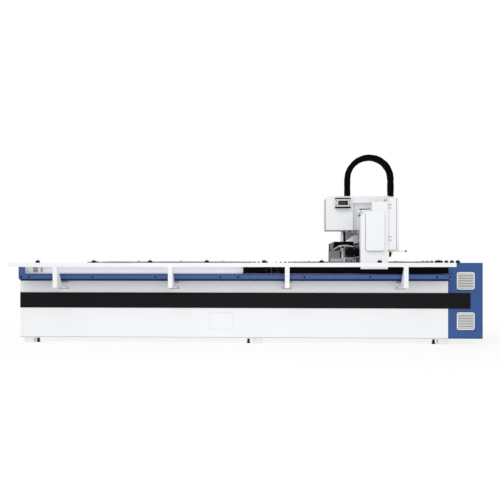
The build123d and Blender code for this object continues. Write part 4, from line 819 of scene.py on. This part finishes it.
# Dark grey sheets painted as the shade on the faces of the pale foot plates, and the bolts on them
foot_plate_shade = Form()
foot_plate_bolts = Form()
for side in SIDES:
    left_xs = (foot_left - 0.0005, foot_left + FOOT_SHADE_STEP)
    foot_plate_shade.side_box(side, left_xs, (0.9240, 0.9258), FOOT_SHADE_ZS, 0.0008)
    right_xs = (foot_left + FOOT_SHADE_STEP, FOOT_SHADE_RIGHT)
    foot_plate_shade.side_box(side, right_xs, (0.8440, 0.8458), FOOT_SHADE_ZS, 0.0008)
    for dx, z in ((0.016, 0.852), (0.060, 0.846), (0.094, 0.872)):
        foot_plate_bolts.side_rod(side, foot_left + dx, z, (0.9255, 0.9285), 0.0075, 16)
drive_guards = Form()
guard_xs = (REAR_GUARD_LEFT, REAR_GUARD_RIGHT)
drive_guards.side_box(FRONT, (foot_left + 0.002, foot_left + 0.112), GUARD_OUTS, (0.8842, GUARD_TOP), 0.001)
drive_guards.side_box(REAR, guard_xs, GUARD_OUTS, (REAR_GUARD_BOTTOM, GUARD_TOP), 0.001)
drive_guards.side_box(REAR, (REAR_GUARD_LEFT, 1.1290), (0.8030, 0.8225), (0.8845, 0.8870), 0.001)
# Near-black strips painted as the shade over the rear guard, under the shroud's arch, and down its right
# side
guard_painted_shade = Form()
guard_painted_shade.side_box(REAR, (0.9900, GUARD_SHADE_RIGHT), GUARD_OUTS, (GUARD_TOP + 0.0005, 1.0330), 0.001)
guard_shade_xs = (REAR_GUARD_RIGHT + SKIN, GUARD_SHADE_RIGHT)
guard_painted_shade.side_box(REAR, guard_shade_xs, GUARD_OUTS, (REAR_GUARD_BOTTOM, GUARD_TOP), 0.001)
foot_plate_shade.piece("foot_plate_shade", "gantry", "white_paint", look="dark_grey_and_painted_light")
foot_plate_bolts.piece("foot_plate_bolts", "gantry", "motor_black")
drive_guards.piece("drive_guards", "gantry", "grey_paint", look="mid_grey_and_shade")
guard_painted_shade.piece("guard_painted_shade", "gantry", "motor_black", look="near_black_and_shade")

# Motors and gearboxes: flanges, fins, a plug with its cable outlet, and screws round a cap

DRIVE_MIDDLE = 0.872
FLANGE_REACH = 0.046
FINS = 6
FIN_PITCH = 0.0135
FIN_BOTTOM = 0.903
FIN_HEIGHT = 0.006
PLUG_REACH = 0.016
OUTLET_X = 0.168
OUTLET_Z = 0.990
CAP_X = 0.049
CAP_Z = 0.935

drive_left = drive_low.x
drive_out = drive_high.y
drive_details = Form()
drive_screws = Form()
for side in SIDES:
    flange_xs = (drive_left + 0.098, drive_left + 0.106)
    flange_outs = (DRIVE_MIDDLE - FLANGE_REACH, DRIVE_MIDDLE + FLANGE_REACH)
    drive_details.side_box(side, flange_xs, flange_outs, (0.889, 0.981), 0.001)
    for i in range(FINS):
        z = FIN_BOTTOM + i * FIN_PITCH
        fin_xs = (drive_left + 0.120, drive_left + 0.268)
        drive_details.side_box(side, fin_xs, (0.9128, 0.9145), (z, z + FIN_HEIGHT), 0.0012)
    plug_xs = (drive_left + 0.150, drive_left + 0.186)
    plug_outs = (DRIVE_MIDDLE - PLUG_REACH, DRIVE_MIDDLE + PLUG_REACH)
    drive_details.side_box(side, plug_xs, plug_outs, (0.975, 0.992), 0.003)
    outlet_outs = (DRIVE_MIDDLE, DRIVE_MIDDLE - 0.030)
    drive_details.side_rod(side, drive_left + OUTLET_X, OUTLET_Z, outlet_outs, 0.010, 20)
    cap_outs = (drive_out - SINK, drive_out + 0.003)
    drive_details.side_rod(side, drive_left + CAP_X, CAP_Z, cap_outs, 0.024, 32)
    for dx in (0.012, 0.086):
        for z in (0.898, 0.972):
            screw_outs = (drive_out - SINK, drive_out + 0.0045)
            drive_screws.side_rod(side, drive_left + dx, z, screw_outs, 0.0040, 16)
drive_details.piece("drive_details", "gantry", "motor_black")
drive_screws.piece("drive_screws", "gantry", "machined_steel", look="dark_grey_and_painted_light")

# End covers: screws and a soft dark line of painted shade round the raised oblong

COVER_OUT = 1.0
COVER_SCREW_INSET = 0.020
BULGE_INSET = 0.049

cover_low, cover_high = span("front_end_cover")
cover_screws = Form()
cover_left = cover_low.x + COVER_SCREW_INSET
cover_right = cover_high.x - COVER_SCREW_INSET
for side in SIDES:
    for x, z in ((cover_left, 0.800), (cover_right, 0.800), (cover_right, 1.425)):
        cover_screws.side_rod(side, x, z, (COVER_OUT - SINK, COVER_OUT + 0.0015), 0.0042, 16, 0.0034)
cover_screws.piece("cover_screws", "gantry", "machined_steel")
# A dark grey ring painted as the shadow round the raised oblong
bulge_painted_shade = Form()
bulge_left = cover_low.x + BULGE_INSET
bulge_line = rounded(bulge_left - 0.0005, bulge_left + 0.1825, 0.9475, 1.3345, 0.024)
bulge_rim = rounded(bulge_left - 0.0030, bulge_left + 0.1865, 0.9430, 1.3360, 0.028)
for side in SIDES:
    bulge_ys = sorted((side * (COVER_OUT - 0.0010), side * (COVER_OUT + 0.0006)))
    bulge_painted_shade.ring(bulge_line, bulge_rim, bulge_ys)
bulge_painted_shade.piece("bulge_painted_shade", "gantry", "white_paint", look="dark_grey_and_painted_light")

# Chain housing ends: a groove down the cap, its eight screws, and the seal and pale flange behind

GROOVE_XS = (1.4340, 1.4356)
GROOVE_ZS = (0.958, 1.476)
CAP_SCREW_XS = (1.4235, 1.4475)
CAP_SCREW_ZS = (1.056, 1.088, 1.377, 1.409)
SEAL_REACH = 0.0055
FLANGE_RIGHT = 0.0270

cap_low, cap_high = span("housing_end_caps")
cap_out = cap_high.y
cap_grooves = Form()
cap_screws = Form()
cap_seals = Form()
cap_flanges = Form()
for side in SIDES:
    cap_grooves.side_box(side, GROOVE_XS, (cap_out - SINK, cap_out + 0.0004), GROOVE_ZS)
    for x in CAP_SCREW_XS:
        for z in CAP_SCREW_ZS:
            cap_screws.side_rod(side, x, z, (cap_out - SINK, cap_out + 0.004), 0.0052, 14, 0.0046)
    outs = (cap_out - 0.0118, cap_out - 0.0005)
    cap_seals.side_box(side, (cap_high.x + 0.0003, cap_high.x + SEAL_REACH), outs, (cap_low.z, cap_high.z))
    flange_xs = (cap_high.x + SEAL_REACH, cap_high.x + FLANGE_RIGHT)
    cap_flanges.side_box(side, flange_xs, outs, (cap_low.z + 0.001, cap_high.z - 0.004), 0.001)
cap_grooves.piece("cap_grooves", "gantry", "white_paint", look="mid_grey_and_shade")
cap_screws.piece("cap_screws", "gantry", "motor_black")
cap_seals.piece("cap_seals", "gantry", "grey_paint", look="mid_grey_and_shade")
cap_flanges.piece("cap_flanges", "gantry", "white_paint")

# Carriage: indicator box with dark bands along its top and bottom edges, its window, three lamps and four
# screws

EDGE_BAND_OVER = 0.001
EDGE_BAND_RISE = 0.0015
EDGE_BAND_HEIGHT = 0.011
WINDOW_INSET_X = 0.028
WINDOW_INSET_Z = 0.026
LAMP_XS = (0.044, 0.062, 0.080)
LAMP_WIDTH = 0.009
LAMP_ZS = (0.042, 0.050)

box_low, box_high = span("indicator_box")
box_face = box_low.y
edge_band_x0 = box_low.x - EDGE_BAND_OVER
edge_band_x1 = box_high.x + EDGE_BAND_OVER
indicator_dark_bands = Form()
for z0, z1 in (
    (box_high.z - EDGE_BAND_HEIGHT, box_high.z + EDGE_BAND_RISE),
    (box_low.z - EDGE_BAND_RISE, box_low.z + EDGE_BAND_HEIGHT),
):
    indicator_dark_bands.box((edge_band_x0, box_face - 0.0012, z0), (edge_band_x1, box_high.y, z1), 0.002)
indicator_dark_bands.piece("indicator_dark_bands", "carriage", "white_paint", look="motor_black")
indicator_body = Form()
body_low = (box_low.x, box_face, box_low.z + 0.010)
indicator_body.box(body_low, (box_high.x, box_high.y, box_high.z - 0.010), 0.003)
indicator_body.piece("indicator_body", "carriage", "white_paint", "indicator_box", look="louvre_pale")
indicator_window = Form()
window_low = (box_low.x + WINDOW_INSET_X, box_face - 0.0014, box_low.z + WINDOW_INSET_Z)
window_high = (box_high.x - WINDOW_INSET_X, box_face + 0.004, box_high.z - WINDOW_INSET_Z)
indicator_window.box(window_low, window_high, 0.003)
indicator_window.piece("indicator_window", "carriage", "black_plastic", look="window_black")
indicator_lamps = Form()
for dx in LAMP_XS:
    x = box_low.x + dx
    lamp_low = (x, box_face - 0.0018, box_low.z + LAMP_ZS[0])
    indicator_lamps.box(lamp_low, (x + LAMP_WIDTH, box_face - 0.0012, box_low.z + LAMP_ZS[1]), 0.0006)
indicator_lamps.piece("indicator_lamps", "carriage", "grey_paint", look="near_black_and_shade")
indicator_screws = Form()
for x in (box_low.x + 0.011, box_high.x - 0.011):
    for z in (box_low.z + 0.030, box_high.z - 0.030):
        indicator_screws.side_rod(FRONT, x, z, (-box_face - SINK, -box_face + 0.003), 0.0052, 16, 0.0044)
indicator_screws.piece("indicator_screws", "carriage", "motor_black")

# Cutting head: a slim tube before a dark block with two lens drawers, rings, side plate and nozzle

HEAD_SIDES = 40
COLLAR_PROFILE = [
    (0.0, 0.9852),
    (0.0155, 0.9852),
    (0.0155, 1.000),
    (0.0120, 1.010),
    (0.0300, 1.016),
    (0.0300, 1.050),
    (0.0, 1.0515),
]
TUBE_PROFILE = [(0.0, 1.052), (0.0118, 1.052), (0.0118, 1.186), (0.0100, 1.190), (0.0, 1.190)]
RING_ZS = (1.020, 1.045)
RING_PROFILE = [(0.0285, 0.0), (0.0306, 0.0), (0.0306, 0.003), (0.0285, 0.003)]
PLATE_LINE = [(1.0305, 1.0700), (1.0780, 1.0900), (1.0780, 1.1560), (1.0540, 1.1560), (1.0305, 1.1360)]
PLATE_Y = -0.6780
PLATE_THICKNESS = 0.0025
PLATE_SCREWS = ((0.030, 1.084), (0.064, 1.096), (0.030, 1.126), (0.064, 1.146))
NOZZLE_SIDES = 36
NOZZLE_PROFILE = [
    (0.0, 0.853),
    (0.003, 0.853),
    (0.0060, 0.860),
    (0.0110, 0.866),
    (0.0115, 0.876),
    (0.0115, 0.915),
    (0.0105, 0.917),
    (0.0105, 0.921),
    (0.0115, 0.923),
    (0.0115, 0.971),
    (0.0155, 0.973),
    (0.0155, 0.985),
    (0.0, 0.985),
]

head_high = span("cutting_head")[1]
nozzle_low, nozzle_high = span("nozzle")
head_x = (nozzle_low.x + nozzle_high.x) / 2
head_y = (nozzle_low.y + nozzle_high.y) / 2
head_axis = (head_x, head_y, 0.0)
head_body = Form()
head_body.turned(COLLAR_PROFILE, head_axis, HEAD_SIDES)
for x0, x1, reach, z0, z1, bevel in (
    (head_x + 0.0110, head_x + 0.0225, 0.034, 1.056, 1.186, 0.002),
    (head_x + 0.0220, head_high.x, 0.030, 1.104, 1.150, 0.003),
    (head_x + 0.0220, head_high.x - 0.004, 0.028, 1.060, 1.098, 0.003),
):
    head_body.box((x0, head_y - reach, z0), (x1, head_y + reach, z1), bevel)
head_body.piece("head_body", "z_slide", "black_plastic", "cutting_head")
head_tube = Form()
head_tube.turned(TUBE_PROFILE, head_axis, HEAD_SIDES)
head_tube.piece("head_tube", "z_slide", "nozzle_steel")
head_rings = Form()
for z in RING_ZS:
    head_rings.turned(RING_PROFILE, (head_x, head_y, z), HEAD_SIDES)
for dx, z in PLATE_SCREWS:
    x = head_x + dx
    head_rings.rod((x, PLATE_Y + 0.0005, z), (x, PLATE_Y - 0.0015, z), 0.0028, 14)
head_rings.piece("head_rings", "z_slide", "machined_steel")
head_plate = Form()
head_plate.prism([(x, PLATE_Y, z) for x, z in PLATE_LINE], (0.0, PLATE_THICKNESS, 0.0))
head_plate.piece("head_plate", "z_slide", "black_plastic", look="dark_grey_and_painted_light")
nozzle_body = Form()
nozzle_body.turned(NOZZLE_PROFILE, head_axis, NOZZLE_SIDES)
nozzle_body.piece("nozzle_body", "z_slide", "nozzle_steel", "nozzle")

# Shroud: a pale strip of painted highlight along its arched edge, a grey patch of painted light on its
# bevelled left end, and a gusset above each cheek

ARCH_BOTTOM = 0.955
HIGHLIGHT_HEIGHT = 0.012
HIGHLIGHT_THICKNESS = 0.0020
GUSSET_LINE = [(1.0330, 1.0512), (1.1040, 1.0512), (1.1040, 1.0970), (1.0330, 1.0640)]
GUSSET_THICKNESS = 0.0025

shroud_low, shroud_high = span("head_shroud")
shroud_x = shroud_low.x
shroud_ys = (shroud_low.y - 0.0006, shroud_high.y - 0.0014)
arch_edge = [
    (shroud_x, ARCH_BOTTOM),
    (shroud_x + 0.026, ARCH_BOTTOM),
    (shroud_x + 0.096, 1.000),
    (shroud_x + 0.170, 1.006),
    (shroud_high.x, 0.992),
]
bevel_highlight_line = [(shroud_x, ARCH_BOTTOM), (shroud_x + 0.030, 0.960)]
bevel_highlight_line += [(shroud_x + 0.044, 1.051), (shroud_x, 1.029)]
# A pale grey strip painted as the highlight along the arched edge
shroud_edge_highlight = Form()
for (x0, z0), (x1, z1) in zip(arch_edge, arch_edge[1:]):
    highlight_line = [(x0, z0), (x1, z1), (x1, z1 + HIGHLIGHT_HEIGHT), (x0, z0 + HIGHLIGHT_HEIGHT)]
    for y in shroud_ys:
        shroud_edge_highlight.prism([(x, y, z) for x, z in highlight_line], (0.0, HIGHLIGHT_THICKNESS, 0.0))
shroud_edge_highlight.piece("shroud_edge_highlight", "z_slide", "grey_paint", look="painted_highlight_grey")
# A grey patch painted on the flat shroud as the lit face of its bevelled left end
shroud_bevel_highlight = Form()
for y in shroud_ys:
    shroud_bevel_highlight.prism([(x, y, z) for x, z in bevel_highlight_line], (0.0, HIGHLIGHT_THICKNESS, 0.0))
shroud_bevel_highlight.piece("shroud_bevel_highlight", "z_slide", "black_plastic", look="dark_grey_and_painted_light")
shroud_gussets = Form()
for y in (shroud_low.y, shroud_high.y - GUSSET_THICKNESS):
    shroud_gussets.prism([(x, y, z) for x, z in GUSSET_LINE], (0.0, GUSSET_THICKNESS, 0.0))
shroud_gussets.piece("shroud_gussets", "z_slide", "black_plastic", look="grey_paint")

# Carriage: pale strips painted as light over the shaded gaps on the cheeks, grey lines of painted shade at
# the cover's left and bottom edges, and covers on the guide blocks

CHEEK_YS = (-0.7125, -0.5300)
CHEEK_STRIP = ((1.1085, 1.4360), (1.4000, 1.4500))
CHEEK_TABS = (
    ((1.1480, 1.1730), (1.1765, 1.3130)),
    ((1.1480, 1.3125), (1.1590, 1.3430)),
    ((1.1480, 1.3430), (1.1765, 1.3690)),
)
CHEEK_THICKNESS = 0.0025
TAB_LIFT = 0.0015
EDGE_RIGHT = 1.1060
EDGE_THICKNESS = 0.0014
BLOCK_COVER_YS = (-0.7075, -0.5350)
BLOCK_COVER_THICKNESS = 0.0023


def thin_plate(form, corners, y, thickness, bevel=0.0):
    """A thin plate across Y, between two corners in X and Z."""
    (x0, z0), (x1, z1) = corners
    form.box((x0, y, z0), (x1, y + thickness, z1), bevel)


# Pale strips and tabs painted as light over the shaded gaps of the carriage recess
cheek_painted_light = Form()
for y in CHEEK_YS:
    thin_plate(cheek_painted_light, CHEEK_STRIP, y, CHEEK_THICKNESS, 0.0005)
    for corners in CHEEK_TABS:
        thin_plate(cheek_painted_light, corners, y + TAB_LIFT, CHEEK_THICKNESS, 0.0005)
cheek_painted_light.piece("cheek_painted_light", "carriage", "white_paint")
edge_low, edge_high = span("head_cover")
# Grey strips painted as the shade on the head cover's left and bottom edges
cover_edge_shade = Form()
for y in (edge_low.y - 0.0006, edge_high.y - 0.0008):
    bottom_line = ((edge_low.x, edge_low.z), (EDGE_RIGHT, edge_low.z + 0.0055))
    left_line = ((edge_low.x, edge_low.z), (edge_low.x + 0.0040, edge_high.z - 0.027))
    thin_plate(cover_edge_shade, bottom_line, y, EDGE_THICKNESS)
    thin_plate(cover_edge_shade, left_line, y, EDGE_THICKNESS)
cover_edge_shade.piece("cover_edge_shade", "carriage", "white_paint", look="mid_grey_and_shade")
block_covers = Form()
for y in BLOCK_COVER_YS:
    thin_plate(block_covers, ((1.1085, 1.1275), (1.1465, 1.1690)), y, BLOCK_COVER_THICKNESS, 0.0005)
block_covers.piece("block_covers", "carriage", "black_plastic", look="dark_grey_and_painted_light")

# Limit switch: the lever's hub, arm and roller, and a dark box over the switch's lower left

HUB_RADIUS = 0.009
ARM_RADIUS = 0.0030
HUB_INSET = 0.009
ROLLER_INSET = 0.013

lever_low, lever_high = span("switch_lever")
hub_x = lever_low.x + HUB_INSET
roller_x = lever_high.x - ROLLER_INSET
lever_y = (lever_low.y + lever_high.y) / 2
lever_z = (lever_low.z + lever_high.z) / 2
lever_arm = Form()
lever_arm.rod((hub_x, lever_high.y, lever_z), (hub_x, lever_low.y, lever_z), HUB_RADIUS, 24)
lever_arm.rod((hub_x, lever_y, lever_z), (roller_x, lever_y, lever_z), ARM_RADIUS, 14)
lever_arm.piece("lever_arm", "switch_lever", "machined_steel", "switch_lever")
lever_roller = Form()
lever_roller.rod((roller_x, lever_high.y, lever_z), (roller_x, lever_low.y, lever_z), HUB_RADIUS, 28)
lever_roller.piece("lever_roller", "switch_lever", "black_plastic")
switch_low = span("limit_switch")[0]
switch_dark_patch = Form()
patch_corner = (switch_low.x + 0.017, switch_low.y + 0.001, 0.938)
switch_dark_patch.box((switch_low.x + 0.001, switch_low.y - 0.0016, 0.893), patch_corner, 0.001)
switch_dark_patch.piece("switch_dark_patch", "gantry", "black_plastic")

# Camera, from the measured view

CAMERA_PLACE = (0.263, -7.82, 0.817)
CAMERA_TURN = 2.6

camera_data = bpy.data.cameras.new("camera")
camera_data.sensor_width = 36.0
camera_data.lens = 48.8
camera_data.shift_x = 0.0176
camera_data.shift_y = 0.028
camera_data.clip_end = 200.0
camera = bpy.data.objects.new("camera", camera_data)
camera.location = CAMERA_PLACE
camera.rotation_euler = (math.radians(90.0), 0.0, math.radians(CAMERA_TURN))
bpy.context.scene.collection.objects.link(camera)
bpy.context.scene.camera = camera

# Background and light

WHITE = (1.0, 1.0, 1.0, 1.0)
SKY_COLOUR = (0.97, 0.985, 1.0, 1.0)
SKY_STRENGTH = 0.70

bpy.context.scene.view_settings.view_transform = "Standard"
world = bpy.data.worlds.new("world")
bpy.context.scene.world = world
world.use_nodes = True
sky = world.node_tree
sky.nodes.clear()
out = sky.nodes.new("ShaderNodeOutputWorld")
choose = sky.nodes.new("ShaderNodeMixShader")
path = sky.nodes.new("ShaderNodeLightPath")
pale = sky.nodes.new("ShaderNodeBackground")
pale.inputs["Color"].default_value = WHITE
pale.inputs["Strength"].default_value = 1.0
soft = sky.nodes.new("ShaderNodeBackground")
soft.inputs["Color"].default_value = SKY_COLOUR
soft.inputs["Strength"].default_value = SKY_STRENGTH
sky.links.new(path.outputs["Is Camera Ray"], choose.inputs["Fac"])
sky.links.new(soft.outputs["Background"], choose.inputs[1])
sky.links.new(pale.outputs["Background"], choose.inputs[2])
sky.links.new(choose.outputs["Shader"], out.inputs["Surface"])


def lamp(name, place, target, power, size):
    """A square area lamp aimed at a point."""
    data = bpy.data.lights.new(name, "AREA")
    data.energy = power
    data.size = size
    made = bpy.data.objects.new(name, data)
    made.location = place
    made.rotation_euler = (Vector(target) - Vector(place)).to_track_quat("-Z", "Y").to_euler()
    bpy.context.scene.collection.objects.link(made)


lamp("key", place=(-2.0, -6.5, 6.5), target=(0.0, 0.0, 0.6), power=178.0, size=4.0)
lamp("fill", place=(0.8, -7.5, 1.7), target=(-0.2, 0.0, 0.7), power=90.0, size=5.0)
lamp("back", place=(1.0, 5.5, 5.5), target=(0.0, 0.0, 0.6), power=110.0, size=4.0)

# Floor: a pale disc that fades out round the machine and keeps its shadow

FLOOR_RADIUS = 14.0
FLOOR_COLOUR = (0.16, 0.16, 0.16, 1.0)
FLOOR_GLOW = 0.83
FADE_SCALE = (0.16, 0.26, 1.0)
FADE_RANGE = (0.02, 0.5)

floor_form = bmesh.new()
bmesh.ops.create_circle(floor_form, cap_ends=True, segments=64, radius=FLOOR_RADIUS)
floor_data = bpy.data.meshes.new("floor")
floor_form.to_mesh(floor_data)
floor_form.free()
floor = bpy.data.objects.new("floor", floor_data)
bpy.context.scene.collection.objects.link(floor)
floor_paint, floor_tree, floor_shader, floor_place = tree("floor")
floor_shader.inputs["Base Color"].default_value = FLOOR_COLOUR
floor_shader.inputs["Emission Color"].default_value = WHITE
floor_shader.inputs["Emission Strength"].default_value = FLOOR_GLOW
floor_shader.inputs["Roughness"].default_value = 0.9
floor_shader.inputs["Specular IOR Level"].default_value = 0.1
floor_clear = floor_tree.nodes.new("ShaderNodeBsdfTransparent")
floor_mix = floor_tree.nodes.new("ShaderNodeMixShader")
floor_fade = floor_tree.nodes.new("ShaderNodeTexGradient")
floor_fade.gradient_type = "SPHERICAL"
floor_scale = floor_tree.nodes.new("ShaderNodeMapping")
floor_scale.inputs["Scale"].default_value = FADE_SCALE
floor_edge = floor_tree.nodes.new("ShaderNodeMapRange")
floor_edge.interpolation_type = "SMOOTHSTEP"
floor_edge.inputs["From Min"].default_value = FADE_RANGE[0]
floor_edge.inputs["From Max"].default_value = FADE_RANGE[1]
floor_tree.links.new(floor_place.outputs["Object"], floor_scale.inputs["Vector"])
floor_tree.links.new(floor_scale.outputs["Vector"], floor_fade.inputs["Vector"])
floor_tree.links.new(floor_fade.outputs["Fac"], floor_edge.inputs["Value"])
floor_tree.links.new(floor_edge.outputs["Result"], floor_mix.inputs["Fac"])
floor_tree.links.new(floor_clear.outputs["BSDF"], floor_mix.inputs[1])
floor_tree.links.new(floor_shader.outputs["BSDF"], floor_mix.inputs[2])
floor_tree.links.new(floor_mix.outputs["Shader"], floor_tree.nodes["Material Output"].inputs["Surface"])
floor_data.materials.append(floor_paint)
